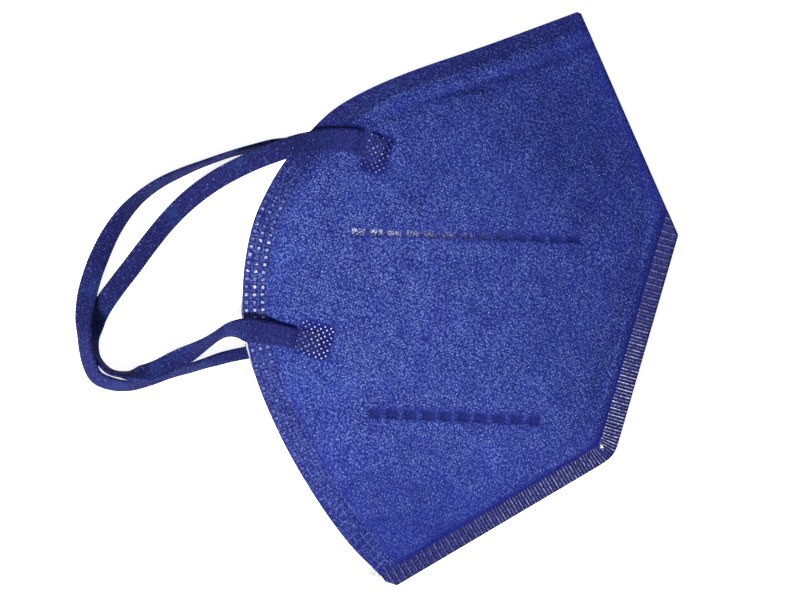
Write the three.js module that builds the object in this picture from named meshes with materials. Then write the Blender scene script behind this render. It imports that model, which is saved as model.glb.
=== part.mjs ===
// Flat-fold disposable respirator, folded in half and lying on its side.
// Millimetres. +Y runs from the chin to the top of the nose edge, +X from the face side to the
// front fold, +Z up. The origin is under the middle of the mask, on the surface it lies on.
import * as THREE from "three";

// Driving sizes
const HALF_LENGTH = 79; // chin to nose is twice this
const MID_HEIGHT = 2.3; // height of the fold and of the front weld
const SHELL_WALL = 1.0; // outer filter sheet
const LINING_WALL = 0.6; // white inner sheet
const GAP = 0.3; // clearance between pieces that touch
const PUFF = 9.6; // how far the near half swells over its edge
const PUFF_REACH = 20; // distance from the front over which it swells
const REST_LIFT = 1.7; // the far half stands this high over the loop ends under it
const BAND_WIDTH = 5.2; // ear loop
const BAND_THICKNESS = 1.0;
const CLIP_WIDTH = 3.2; // nose wire strip
const CLIP_THICKNESS = 0.6;

const BLUE = 0x3c4c9c;
const NAVY = 0x2a2f74;
const WHITE = 0xe9e8e2;
const METAL = 0xb9bcc0;

// Outline: the face rim goes through these points, chin first
const RIM = [
  { y: -79, x: 8.6 },
  { y: -77.6, x: 5.2 },
  { y: -72, x: -5.3 },
  { y: -62, x: -18.6 },
  { y: -50, x: -31.4 },
  { y: -36, x: -42.9 },
  { y: -20, x: -50.9 },
  { y: -2, x: -54.4 },
  { y: 12, x: -53.1 },
  { y: 24, x: -49.2 },
  { y: 36, x: -42.7 },
  { y: 48, x: -30.6 },
  { y: 64, x: -9.7 },
  { y: 79, x: 9.3 },
];
// and the front is three straight edges with rounded corners
const NOSE_TOP = { x: 10.5, y: 79 };
const FOLD_TIP = { x: 52.7, y: 31.4 };
const SEAM_CORNER = { x: 54.6, y: -29.3 };
const CHIN = { x: 10.6, y: -79 };
const FRONT_EDGES = [
  { from: NOSE_TOP, to: FOLD_TIP },
  { from: FOLD_TIP, to: SEAM_CORNER },
  { from: SEAM_CORNER, to: CHIN },
];
const CORNER_SOFTNESS = 1.0;
const SWELL_SOFTNESS = 3;

// Where the far half's rim shows past the near one
const RIM_OFFSET = { y: -28.5, reach: 8.5, amount: 0.7 };

// Profile of the front edge, from where the pocket ends outwards: inset from the edge and half
// the thickness there, where the halves are welded and where the sheet is folded
const FRONT_PROFILE = [
  { seamInset: 7.4, seamHalf: 2.0, foldInset: 2.2, foldHalf: 2.2 },
  { seamInset: 4.8, seamHalf: 0.8, foldInset: 0.65, foldHalf: 1.55 },
  { seamInset: 0.0, seamHalf: 0.8, foldInset: 0.1, foldHalf: 0.7 },
];
const SEAM_TOP = { from: 34, to: 29 }; // the weld gives way to the fold between these

// Soft mounds and hollows of the near half
const MOUNDS = [
  { x: -19, y: 19, along: 9, across: 6, turn: 70, height: 0.5 },
  { x: -3, y: 25, along: 10, across: 6, turn: 60, height: 0.5 },
  { x: -14, y: 28, along: 9, across: 4, turn: 75, height: -0.7 },
  { x: 12, y: 39, along: 11, across: 8, turn: -40, height: 0.6 },
  { x: 24, y: 34, along: 12, across: 6, turn: -45, height: -0.5 },
  { x: -38, y: 6, along: 12, across: 5, turn: 80, height: 0.5 },
  { x: -31, y: -36, along: 9, across: 6, turn: 60, height: 0.6 },
  { x: -21, y: -34, along: 11, across: 4, turn: 70, height: -0.7 },
  { x: -13, y: -45, along: 13, across: 6, turn: 50, height: 0.6 },
  { x: 3, y: -4, along: 16, across: 10, turn: 15, height: 0.5 },
  { x: 18, y: -50, along: 14, across: 7, turn: 45, height: -0.5 },
  { x: 33, y: 4, along: 15, across: 6, turn: 85, height: -0.4 },
];

// Where the sheets stop, and how finely they are divided
const LINING_ENDS = { chin: -72.5, nose: 69.5 };
const ROWS = 46;
const STATIONS = [0, 0.03, 0.09, 0.17, 0.27, 0.39, 0.52, 0.65, 0.78, 0.9, 1];

// Ear loop routes: the band's centre, its height (z, or over the near half's face), its roll in
// degrees, the outer edge up when positive, and its width where that isn't BAND_WIDTH. They start
// and end on their weld pads.
const NEAR_LOOP = [
  { x: -27.8, y: 28.0, over: 0.9, roll: 0, width: 7 },
  { x: -32.0, y: 28.5, over: 0.9, roll: 0, width: 7 },
  { x: -37.0, y: 28.3, over: 1.2, roll: -6, width: 6.4 },
  { x: -43.0, y: 26.4, over: 1.7, roll: -10, width: 6.2 },
  { x: -49.1, y: 23.4, over: 1.8, roll: -12, width: 5.7 },
  { x: -55.9, y: 18.5, z: 12.2, roll: 0 },
  { x: -61.8, y: 13.5, z: 9.6, roll: 4 },
  { x: -67.6, y: 7.5, z: 6.4, roll: 6 },
  { x: -72.6, y: 0.6, z: 3.8, roll: 12 },
  { x: -76.1, y: -6.0, z: 2.3, roll: 18 },
  { x: -78.9, y: -13.0, z: 1.7, roll: 20 },
  { x: -81.7, y: -21.0, z: 1.1, roll: 8 },
  { x: -84.2, y: -28.0, z: 0.8, roll: 2 },
  { x: -86.0, y: -34.5, z: 0.8, roll: 3 },
  { x: -86.1, y: -38.6, z: 1.0, roll: 8, width: 4.8 },
  { x: -85.8, y: -41.4, z: 1.6, roll: 28, width: 4.3 },
  { x: -84.6, y: -44.0, z: 2.1, roll: 56, width: 4.1 },
  { x: -82.6, y: -46.5, z: 2.5, roll: 75, width: 4.5 },
  { x: -78.6, y: -48.6, z: 2.9, roll: 80 },
  { x: -74.6, y: -48.2, z: 3.5, roll: 77 },
  { x: -71.4, y: -46.8, z: 5.4, roll: 48 },
  { x: -67.6, y: -44.9, z: 6.3, roll: 14 },
  { x: -63.6, y: -41.2, z: 6.6, roll: 0 },
  { x: -60.0, y: -37.5, z: 7.4, roll: -32 },
  { x: -56.8, y: -33.8, z: 9.1, roll: -60 },
  { x: -53.5, y: -30.1, z: 11.1, roll: -64 },
  { x: -50.6, y: -28.0, z: 12.8, roll: -32 },
  { x: -47.2, y: -27.0, over: 1.8, roll: -10, width: 6.4 },
  { x: -42.0, y: -26.2, over: 1.7, roll: -8, width: 6.1 },
  { x: -36.8, y: -25.6, over: 1.1, roll: 3, width: 5.6 },
  { x: -32.4, y: -25.1, over: 0.9, roll: 0, width: 5.5 },
  { x: -28.2, y: -24.4, over: 0.9, roll: 0, width: 5.8 },
];
const FAR_LOOP = [
  { x: -27.8, y: 27.4, z: 0.75, roll: 0, width: 7 },
  { x: -33.0, y: 27.2, z: 0.75, roll: 0, width: 7 },
  { x: -40.5, y: 26.3, z: 0.75, roll: 0, width: 4.8 },
  { x: -47.8, y: 24.4, z: 0.75, roll: 2, width: 3.4 },
  { x: -53.8, y: 22.1, z: 1.2, roll: 22, width: 3.6 },
  { x: -58.8, y: 19.7, z: 2.3, roll: 60, width: 4.6 },
  { x: -64.5, y: 16.5, z: 2.8, roll: 79 },
  { x: -71.5, y: 11.3, z: 2.8, roll: 78 },
  { x: -77.0, y: 6.7, z: 2.8, roll: 70 },
  { x: -81.3, y: 2.5, z: 2.7, roll: 65 },
  { x: -85.0, y: -2.5, z: 2.6, roll: 59 },
  { x: -87.6, y: -7.6, z: 2.4, roll: 46 },
  { x: -89.5, y: -14.0, z: 2.1, roll: 32 },
  { x: -90.4, y: -20.4, z: 1.9, roll: 16 },
  { x: -90.7, y: -26.2, z: 2.1, roll: -2 },
  { x: -90.4, y: -31.6, z: 2.7, roll: -20 },
  { x: -89.5, y: -36.8, z: 3.7, roll: -40 },
  { x: -87.9, y: -41.2, z: 4.4, roll: -48 },
  { x: -86.2, y: -45.0, z: 4.5, roll: -50 },
  { x: -84.2, y: -48.7, z: 3.9, roll: -52 },
  { x: -81.5, y: -51.4, z: 3.2, roll: -56 },
  { x: -77.4, y: -51.9, z: 2.9, roll: -62 },
  { x: -72.5, y: -50.6, z: 2.6, roll: -63 },
  { x: -67.9, y: -47.5, z: 2.5, roll: -58 },
  { x: -63.3, y: -44.1, z: 2.6, roll: -62 },
  { x: -58.6, y: -41.2, z: 2.7, roll: -66 },
  { x: -54.4, y: -38.2, z: 2.3, roll: -58, width: 4.6 },
  { x: -50.4, y: -35.5, z: 1.4, roll: -30, width: 3.6 },
  { x: -46.0, y: -33.0, z: 0.8, roll: -4, width: 3.4 },
  { x: -41.4, y: -30.6, z: 0.75, roll: 0, width: 4.2 },
  { x: -36.6, y: -28.0, z: 0.75, roll: 0 },
  { x: -33.0, y: -26.0, z: 0.75, roll: 0, width: 7 },
  { x: -29.0, y: -23.9, z: 0.75, roll: 0, width: 7 },
];
const BAND_STEPS = 96;
const BAND_CORNERS = [[-1, -1], [1, -1], [1, 1], [-1, 1]];

// Nose strip: runs this far each side of the fold, parallel to the nose edge
const CLIP_LEG = 42;
const CLIP_STEPS = 16;
const CLIP_BEND_RUN = 3.9; // the bend's centre, back from the fold
const CLIP_BEND_STEPS = 6;
const CLIP_AT_FOLD = { x: 14.3, y: 74.7 };
const CLIP_HEADING = { x: -0.777, y: -0.629 };
const CLIP_ROOM = 1.1; // extra space between shell and lining beside the strip

const group = new THREE.Group();

function smooth(from, to, value) {
  const share = THREE.MathUtils.clamp((value - from) / (to - from), 0, 1);
  return share * share * (3 - 2 * share);
}

function softMin(values, softness) {
  const least = Math.min(...values);
  const sum = values.reduce((total, value) => total + Math.exp((least - value) / softness), 0);
  return least - softness * Math.log(sum);
}

// Smooth curve through a table's rows, read at any place between them
function readCurve(rows, inKey, outKey, at) {
  const last = rows.length - 1;
  let i = 0;
  while (i < last - 1 && at > rows[i + 1][inKey]) i += 1;
  const slope = (k) => {
    const before = rows[Math.max(k - 1, 0)];
    const after = rows[Math.min(k + 1, last)];
    return (after[outKey] - before[outKey]) / (after[inKey] - before[inKey]);
  };
  const span = rows[i + 1][inKey] - rows[i][inKey];
  const t = THREE.MathUtils.clamp((at - rows[i][inKey]) / span, 0, 1);
  const h1 = t * t * (3 - 2 * t);
  const h2 = t * (1 - t) * (1 - t);
  const h3 = t * t * (t - 1);
  return rows[i][outKey] * (1 - h1) + rows[i + 1][outKey] * h1
    + (slope(i) * h2 + slope(i + 1) * h3) * span;
}

function edgeX(edge, y) {
  const share = (y - edge.from.y) / (edge.to.y - edge.from.y);
  return edge.from.x + (edge.to.x - edge.from.x) * share;
}

function rimX(y) {
  return readCurve(RIM, "y", "x", y);
}

function farRimX(y) {
  const away = (y - RIM_OFFSET.y) / RIM_OFFSET.reach;
  return rimX(y) - RIM_OFFSET.amount * Math.exp(-away * away);
}

function frontX(y) {
  return softMin(FRONT_EDGES.map((edge) => edgeX(edge, y)), CORNER_SOFTNESS);
}

function frontDistance(x, y) {
  const distances = FRONT_EDGES.map((edge) => {
    const dx = edge.to.x - edge.from.x;
    const dy = edge.to.y - edge.from.y;
    return (edgeX(edge, y) - x) * Math.abs(dy) / Math.hypot(dx, dy);
  });
  return softMin(distances, SWELL_SOFTNESS);
}

function rimDistance(x, y) {
  const slant = rimX(y + 1) - rimX(y - 1);
  return (x - rimX(y)) * 2 / Math.hypot(slant, 2);
}

// The front profile at one height of the mask: x, half thickness for each of its stations
function frontStations(y) {
  const seam = smooth(SEAM_TOP.from, SEAM_TOP.to, y);
  const tip = frontX(y);
  const width = tip - rimX(y);
  const slant = Math.hypot(1, (frontX(y + 1) - frontX(y - 1)) / 2);
  const mix = (a, b) => a * seam + b * (1 - seam);
  const pocket = mix(FRONT_PROFILE[0].seamInset, FRONT_PROFILE[0].foldInset) * slant;
  const squeeze = Math.min(1, 0.7 * width / pocket);
  const edgeHalf = mix(FRONT_PROFILE[2].seamHalf, FRONT_PROFILE[2].foldHalf);
  return FRONT_PROFILE.map((row) => ({
    x: tip - mix(row.seamInset, row.foldInset) * slant * squeeze,
    half: edgeHalf + (mix(row.seamHalf, row.foldHalf) - edgeHalf) * squeeze,
  }));
}

function pocketDistance(x, y) {
  const seam = smooth(SEAM_TOP.from, SEAM_TOP.to, y);
  const inset = FRONT_PROFILE[0].seamInset * seam + FRONT_PROFILE[0].foldInset * (1 - seam);
  return Math.max(frontDistance(x, y) - inset, 0);
}

function mounds(x, y) {
  return MOUNDS.reduce((total, m) => {
    const turn = THREE.MathUtils.degToRad(m.turn);
    const along = ((x - m.x) * Math.cos(turn) + (y - m.y) * Math.sin(turn)) / m.along;
    const across = ((y - m.y) * Math.cos(turn) - (x - m.x) * Math.sin(turn)) / m.across;
    return total + m.height * Math.exp(-along * along - across * across);
  }, 0);
}

// Height of the near half's outer face
function topZ(x, y) {
  const inside = pocketDistance(x, y);
  const towardsEnds = 1 - 0.5 * smooth(15, HALF_LENGTH, y) - 0.4 * smooth(-25, -HALF_LENGTH, y);
  const swell = PUFF * (1 - Math.exp(-inside / PUFF_REACH)) * towardsEnds;
  const droop = 0.9 * Math.exp(-rimDistance(x, y) / 6) * smooth(2, 20, inside);
  const soft = mounds(x, y) * smooth(0, 12, inside);
  return MID_HEIGHT + frontStations(y)[0].half + swell - droop + soft;
}

// Height of the far half's outer face: flat on the surface, but over the loop ends
function bottomZ(x, y) {
  const inside = pocketDistance(x, y);
  const edge = (MID_HEIGHT - frontStations(y)[0].half) * (1 - smooth(0, 5, inside));
  const overLoops = (1 - smooth(24, 36, rimDistance(x, y))) * (1 - smooth(46, 62, Math.abs(y)));
  return Math.max(edge, REST_LIFT * overLoops * smooth(2, 16, inside));
}

// Space for the nose strip between shell and lining
function clipRoom(x, y) {
  return CLIP_ROOM * smooth(1.5, 5, pocketDistance(x, y)) * smooth(32, 42, y);
}

// Closed body from equal rings of points, its first and last ring capped. From innerFrom on, a
// ring comes back along its inner side, where the squares are cut on the other diagonal, so that
// the faces of two nested sheets stay parallel.
function bodyFromRings(rings, capShape, innerFrom) {
  const count = rings[0].length;
  const positions = rings.flat().flatMap((p) => [p.x, p.y, p.z]);
  const index = [];
  for (let r = 0; r < rings.length - 1; r += 1) {
    for (let k = 0; k < count; k += 1) {
      const a = r * count + k;
      const b = r * count + ((k + 1) % count);
      const outer = [a, b, a + count, b, b + count, a + count];
      const inner = [a, b, b + count, a, b + count, a + count];
      index.push(...(k < innerFrom ? outer : inner));
    }
  }
  const outline = rings[0].map(capShape);
  const outlineEnd = rings[rings.length - 1].map(capShape);
  const start = THREE.ShapeUtils.triangulateShape(outline, []);
  const end = THREE.ShapeUtils.triangulateShape(outlineEnd, []);
  const turned = THREE.ShapeUtils.isClockWise(outline);
  const offset = (rings.length - 1) * count;
  start.forEach(([a, b, c]) => index.push(...(turned ? [a, b, c] : [a, c, b])));
  end.forEach(([a, b, c]) => {
    index.push(...(turned ? [offset + a, offset + c, offset + b] : [offset + a, offset + b, offset + c]));
  });
  const geometry = new THREE.BufferGeometry();
  geometry.setAttribute("position", new THREE.Float32BufferAttribute(positions, 3));
  geometry.setIndex(index);
  return geometry;
}

function signedVolume(geometry) {
  const p = geometry.getAttribute("position");
  const index = geometry.getIndex();
  const [a, b, c] = [new THREE.Vector3(), new THREE.Vector3(), new THREE.Vector3()];
  let volume = 0;
  for (let i = 0; i < index.count; i += 3) {
    a.fromBufferAttribute(p, index.getX(i));
    b.fromBufferAttribute(p, index.getX(i + 1));
    c.fromBufferAttribute(p, index.getX(i + 2));
    volume += a.dot(b.cross(c)) / 6;
  }
  return volume;
}

function faceOut(geometry) {
  if (signedVolume(geometry) > 0) return geometry;
  const index = geometry.getIndex();
  for (let i = 0; i < index.count; i += 3) {
    const kept = index.getX(i);
    index.setX(i, index.getX(i + 2));
    index.setX(i + 2, kept);
  }
  return geometry;
}

function addPiece(name, geometry, color, roughness, metalness) {
  const outward = faceOut(geometry);
  outward.computeVertexNormals();
  const material = new THREE.MeshStandardMaterial({ color, roughness, metalness });
  const mesh = new THREE.Mesh(outward, material);
  mesh.name = name;
  group.add(mesh);
}

// Heights at which the sheets are cut into rows, closer towards both ends and exact at corners
function rowHeights() {
  const rows = [];
  for (let i = 0; i <= ROWS; i += 1) {
    const a = -1 + 2 * i / ROWS;
    rows.push(HALF_LENGTH * (0.62 * a + 0.38 * Math.sin(a * Math.PI / 2)));
  }
  [FOLD_TIP.y, SEAM_CORNER.y, LINING_ENDS.chin, LINING_ENDS.nose].forEach((exact) => {
    const nearest = rows.reduce((best, y, k) => (
      Math.abs(y - exact) < Math.abs(rows[best] - exact) ? k : best), 0);
    rows[nearest] = exact;
  });
  return rows;
}

// One row of a pocket-shaped sheet: out along the top, round the front, back along the bottom
function pocketRing(y, fromShell, wall, front) {
  const pocketX = frontStations(y)[0].x;
  const along = (rim, share) => (
    rim + (pocketX - rim) * share - (share === 1 && front.length === 0 ? GAP : 0));
  const top = STATIONS.map((share) => {
    const x = along(rimX(y), share);
    return { x, z: topZ(x, y) - fromShell(x, y) };
  });
  const bottom = STATIONS.map((share) => {
    const x = along(farRimX(y), share);
    return { x, z: bottomZ(x, y) + fromShell(x, y) };
  });
  const innerX = (x, share) => (front.length ? x : x - share * wall);
  const topIn = top.map((p, k) => ({ x: innerX(p.x, STATIONS[k]), z: p.z - wall }));
  const bottomIn = bottom.map((p, k) => ({ x: innerX(p.x, STATIONS[k]), z: p.z + wall }));
  const round = front.map((s) => ({ x: s.x, z: MID_HEIGHT + s.half }));
  const roundBack = front.map((s) => ({ x: s.x, z: MID_HEIGHT - s.half })).reverse();
  const ring = [...top, ...round, ...roundBack, ...bottom.reverse(), ...bottomIn, ...topIn.reverse()];
  return ring.map((p) => new THREE.Vector3(p.x, y, p.z));
}

function addOuterShell() {
  const rings = rowHeights().map((y) => {
    const front = frontStations(y);
    const wall = Math.min(SHELL_WALL, front[0].half - 0.15);
    return pocketRing(y, () => 0, wall, front.slice(1));
  });
  const shape = (p) => new THREE.Vector2(p.x, p.z);
  const innerFrom = 2 * (STATIONS.length + FRONT_PROFILE.length - 1);
  addPiece("outer_shell", bodyFromRings(rings, shape, innerFrom), BLUE, 0.85, 0);
}

function addInnerLining() {
  const rows = rowHeights().filter((y) => y >= LINING_ENDS.chin && y <= LINING_ENDS.nose);
  const fromShell = (x, y) => SHELL_WALL + GAP + clipRoom(x, y);
  const rings = rows.map((y) => pocketRing(y, fromShell, LINING_WALL, []));
  const shape = (p) => new THREE.Vector2(p.x, p.z);
  addPiece("inner_lining", bodyFromRings(rings, shape, 2 * STATIONS.length), WHITE, 0.9, 0);
}

// How far the near half's face leans under a band, in degrees, its inner side higher when positive
function lean(route, k) {
  const before = route[Math.max(k - 1, 0)];
  const after = route[Math.min(k + 1, route.length - 1)];
  const run = Math.hypot(after.x - before.x, after.y - before.y);
  const side = { x: -(after.y - before.y) / run * 2, y: (after.x - before.x) / run * 2 };
  const { x, y } = route[k];
  const rise = topZ(x + side.x, y + side.y) - topZ(x - side.x, y - side.y);
  return THREE.MathUtils.radToDeg(Math.atan2(rise, 4));
}

// A flat band along a route, with its width turned about the route by the roll
function bandGeometry(route, steps, thickness, defaultWidth) {
  const points = route.map((p) => {
    const z = p.z ?? topZ(p.x, p.y) + p.over;
    return new THREE.Vector3(p.x, p.y, z);
  });
  const curve = new THREE.CatmullRomCurve3(points, false, "centripetal");
  const rolls = route.map((p, k) => ({
    at: k,
    roll: p.roll - (p.z === undefined ? lean(route, k) : 0),
    width: p.width ?? defaultWidth,
  }));
  const rings = [];
  for (let i = 0; i <= steps; i += 1) {
    const share = i / steps;
    const at = share * (route.length - 1);
    const centre = curve.getPoint(share);
    const ahead = curve.getTangent(share);
    const level = new THREE.Vector3(-ahead.y, ahead.x, 0).normalize();
    const turn = -THREE.MathUtils.degToRad(readCurve(rolls, "at", "roll", at));
    const side = level.applyAxisAngle(ahead, turn);
    const out = new THREE.Vector3().crossVectors(ahead, side).normalize();
    const half = readCurve(rolls, "at", "width", at) / 2;
    rings.push(BAND_CORNERS.map(([s, t]) => (
      centre.clone().addScaledVector(side, s * half).addScaledVector(out, t * thickness / 2))));
  }
  return bodyFromRings(rings, (p, k) => new THREE.Vector2(...BAND_CORNERS[k]), BAND_CORNERS.length);
}

function addEarLoop(name, route) {
  addPiece(name, bandGeometry(route, BAND_STEPS, BAND_THICKNESS, BAND_WIDTH), NAVY, 0.9, 0);
}

// The strip follows the inside of the shell: along the far half, round the fold, along the near
// half. Each ring of it has four corners, its width lying across the run and its thickness in z
// on the legs, turning with the bend.
function noseStripRings() {
  const inside = SHELL_WALL + GAP + CLIP_THICKNESS / 2;
  const bendRadius = FRONT_PROFILE[0].foldHalf - inside;
  const across = { x: -CLIP_HEADING.y, y: CLIP_HEADING.x };
  const legRing = (share, near) => {
    const run = CLIP_BEND_RUN + CLIP_LEG * share;
    return BAND_CORNERS.map(([s, t]) => {
      const x = CLIP_AT_FOLD.x + CLIP_HEADING.x * run + across.x * s * CLIP_WIDTH / 2;
      const y = CLIP_AT_FOLD.y + CLIP_HEADING.y * run + across.y * s * CLIP_WIDTH / 2;
      const middle = near ? topZ(x, y) - inside : bottomZ(x, y) + inside;
      return new THREE.Vector3(x, y, middle + (near ? t : -t) * CLIP_THICKNESS / 2);
    });
  };
  const bendRing = (angle) => BAND_CORNERS.map(([s, t]) => {
    const radius = bendRadius + t * CLIP_THICKNESS / 2;
    const run = CLIP_BEND_RUN - radius * Math.cos(angle);
    const x = CLIP_AT_FOLD.x + CLIP_HEADING.x * run + across.x * s * CLIP_WIDTH / 2;
    const y = CLIP_AT_FOLD.y + CLIP_HEADING.y * run + across.y * s * CLIP_WIDTH / 2;
    return new THREE.Vector3(x, y, MID_HEIGHT + radius * Math.sin(angle));
  });
  const rings = [];
  for (let i = CLIP_STEPS; i >= 1; i -= 1) rings.push(legRing((i / CLIP_STEPS) ** 1.3, false));
  for (let i = 0; i <= CLIP_BEND_STEPS; i += 1) {
    rings.push(bendRing(Math.PI * (i / CLIP_BEND_STEPS - 0.5)));
  }
  for (let i = 1; i <= CLIP_STEPS; i += 1) rings.push(legRing((i / CLIP_STEPS) ** 1.3, true));
  return rings;
}

function addNoseClip() {
  const shape = (p, k) => new THREE.Vector2(...BAND_CORNERS[k]);
  const body = bodyFromRings(noseStripRings(), shape, BAND_CORNERS.length);
  addPiece("nose_clip", body, METAL, 0.4, 0.9);
}

addOuterShell();
addInnerLining();
addNoseClip();
addEarLoop("ear_loop_near", NEAR_LOOP);
addEarLoop("ear_loop_far", FAR_LOOP);

export default group;
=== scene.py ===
import math

import bpy
import numpy as np
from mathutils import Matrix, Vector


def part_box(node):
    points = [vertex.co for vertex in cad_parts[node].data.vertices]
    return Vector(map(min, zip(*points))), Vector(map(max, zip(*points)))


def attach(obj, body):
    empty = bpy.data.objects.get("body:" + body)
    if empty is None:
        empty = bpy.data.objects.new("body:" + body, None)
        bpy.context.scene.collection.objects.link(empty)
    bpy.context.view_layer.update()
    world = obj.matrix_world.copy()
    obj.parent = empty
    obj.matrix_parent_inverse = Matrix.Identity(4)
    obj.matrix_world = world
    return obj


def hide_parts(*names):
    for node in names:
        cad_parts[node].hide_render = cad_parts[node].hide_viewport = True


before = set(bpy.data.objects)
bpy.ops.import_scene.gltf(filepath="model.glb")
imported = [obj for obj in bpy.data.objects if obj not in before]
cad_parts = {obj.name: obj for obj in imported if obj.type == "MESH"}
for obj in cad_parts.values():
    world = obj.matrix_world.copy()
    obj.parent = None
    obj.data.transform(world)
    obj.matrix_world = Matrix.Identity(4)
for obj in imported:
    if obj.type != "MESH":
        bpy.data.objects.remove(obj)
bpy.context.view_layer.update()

SHELL_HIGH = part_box("outer_shell")[1]
BODY = "root"

# -------------------- camera

VIEW_POINT = (-0.0117, -0.0073)  # the camera hangs straight above this point
VIEW_HEIGHT = 2.0
VIEW_WIDTH = 0.2099  # what it sees from side to side, at the height of the mask
VIEW_TURN = math.radians(17.893)
SENSOR_WIDTH = 36.0


def add_camera():
    data = bpy.data.cameras.new("camera")
    data.sensor_width = SENSOR_WIDTH
    data.lens = SENSOR_WIDTH * VIEW_HEIGHT / VIEW_WIDTH
    data.clip_end = 10
    camera = bpy.data.objects.new("camera", data)
    camera.location = (*VIEW_POINT, VIEW_HEIGHT + SHELL_HIGH[2] / 2)
    camera.rotation_euler = (0, 0, VIEW_TURN)
    bpy.context.scene.collection.objects.link(camera)
    bpy.context.scene.camera = camera


add_camera()

# -------------------- form of the mask

HALF_LENGTH = SHELL_HIGH[1]
MID_HEIGHT = 0.0023  # height of the fold and of the front weld
SHELL_WALL = 0.001
LINING_WALL = 0.0006
RIM_WALL = 0.00045  # shell and lining where they are welded together along the rim
RIM_LINING = 0.0003
RIM_TO_FULL = (0.0055, 0.0090)  # both grow to their full thickness between these insets
PUFF = 0.0096  # how far the near half swells over its edge
PUFF_REACH = 0.020
NOSE_LOSS, CHIN_LOSS = 0.5, 0.4  # share of that which is missing at the ends
RIM_DROOP, DROOP_REACH = 0.0009, 0.006
REST_LIFT = 0.0017  # the far half stands this high over the loop ends under it
REST_INSET, REST_Y = (0.024, 0.036), (0.046, 0.062)  # and comes down between these

# the face rim goes through these points (y, x), chin first
RIM = [
    (-0.0790, 0.0086), (-0.0776, 0.0052), (-0.0720, -0.0053), (-0.0620, -0.0186),
    (-0.0500, -0.0314), (-0.0360, -0.0429), (-0.0200, -0.0509), (-0.0020, -0.0544),
    (0.0120, -0.0531), (0.0240, -0.0492), (0.0360, -0.0427), (0.0480, -0.0306),
    (0.0640, -0.0097), (0.0790, 0.0093),
]
# and the front is three straight edges
NOSE_TOP = np.array((0.0105, 0.0790))
FOLD_TIP = np.array((0.0527, 0.0314))
SEAM_CORNER = np.array((0.0546, -0.0293))
CHIN = np.array((0.0106, -0.0790))
FRONT_EDGES = [(NOSE_TOP, FOLD_TIP), (FOLD_TIP, SEAM_CORNER), (SEAM_CORNER, CHIN)]
CORNER_SOFTNESS = 0.0010
SWELL_SOFTNESS = 0.003

RIM_OFFSET = dict(y=-0.0285, reach=0.0085, amount=0.0010)  # the far rim shows past the near one

DENSE_Y = np.linspace(-HALF_LENGTH, HALF_LENGTH, 3000)  # for lines from the chin to the nose
FOLD_RADIUS = 0.0022
FOLD_SQUARENESS = 5  # 2 would be a round fold
SEAM_WIDTH = 0.0047  # front weld
SEAM_HALF = 0.0008
FLANGE_HALF = 0.00052  # half the thickness of what runs into the weld
FLANGE_SWELLS = [  # and how much it grows from one inset to the next
    (0.0044, 0.0051, 0.00030), (0.0050, 0.0074, 0.0010), (0.007, 0.013, 0.0005),
]
SEAM_INSET = 0.0074  # from here on the pocket is free of the weld

# Soft mounds and hollows of the near half: x, y, reach along and across, turn in degrees, height
MOUNDS = [
    (-0.019, 0.019, 0.009, 0.006, 70, 0.0005),
    (-0.003, 0.025, 0.010, 0.006, 60, 0.0005),
    (-0.014, 0.028, 0.009, 0.004, 75, -0.0007),
    (0.012, 0.039, 0.011, 0.008, -40, 0.0006),
    (0.024, 0.034, 0.012, 0.006, -45, -0.0005),
    (-0.038, 0.006, 0.012, 0.005, 80, 0.0005),
    (-0.031, -0.036, 0.009, 0.006, 60, 0.0006),
    (-0.021, -0.034, 0.011, 0.004, 70, -0.0007),
    (-0.013, -0.045, 0.013, 0.006, 50, 0.0006),
    (0.003, -0.004, 0.016, 0.010, 15, 0.0005),
    (0.018, -0.050, 0.014, 0.007, 45, -0.0005),
    (0.033, 0.004, 0.015, 0.006, 85, -0.0004),
]


def smooth(start, end, value):
    share = np.clip((value - start) / (end - start), 0, 1)
    return share * share * (3 - 2 * share)


def bell(value, reach):
    return np.exp(-(value / reach) ** 2)


def soft_min(values, softness):
    least = np.minimum.reduce(values)
    total = sum(np.exp((least - value) / softness) for value in values)
    return least - softness * np.log(total)


def read_curve(rows, at):
    """Smooth curve through rows of (place, value), read at any places between them."""
    places, values = np.array(rows, dtype=float).T
    slopes = np.empty(len(places))
    slopes[1:-1] = (values[2:] - values[:-2]) / (places[2:] - places[:-2])
    slopes[0] = (values[1] - values[0]) / (places[1] - places[0])
    slopes[-1] = (values[-1] - values[-2]) / (places[-1] - places[-2])
    i = np.clip(np.searchsorted(places, at) - 1, 0, len(places) - 2)
    span = places[i + 1] - places[i]
    t = np.clip((at - places[i]) / span, 0, 1)
    h1 = t * t * (3 - 2 * t)
    h2 = t * (1 - t) ** 2
    h3 = t * t * (t - 1)
    return values[i] * (1 - h1) + values[i + 1] * h1 + (slopes[i] * h2 + slopes[i + 1] * h3) * span


def rim_x(y):
    return read_curve(RIM, y)


def far_rim_x(y):
    return rim_x(y) - RIM_OFFSET["amount"] * bell(y - RIM_OFFSET["y"], RIM_OFFSET["reach"])


def edge_x(edge, y):
    (x0, y0), (x1, y1) = edge
    return x0 + (x1 - x0) * (y - y0) / (y1 - y0)


def front_x(y):
    return soft_min([edge_x(edge, y) for edge in FRONT_EDGES], CORNER_SOFTNESS)


def edge_distance(edge, x, y):
    run = edge[1] - edge[0]
    return (edge_x(edge, y) - x) * abs(run[1]) / math.hypot(*run)


def fold_distance(x, y):
    return edge_distance(FRONT_EDGES[0], x, y)


def seam_distance(x, y):
    return soft_min([edge_distance(edge, x, y) for edge in FRONT_EDGES[1:]], CORNER_SOFTNESS)


def rim_distance(x, y, rim=rim_x):
    step = 0.001
    slant = rim(y + step) - rim(y - step)
    return (x - rim(y)) * 2 * step / np.hypot(slant, 2 * step)


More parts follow.
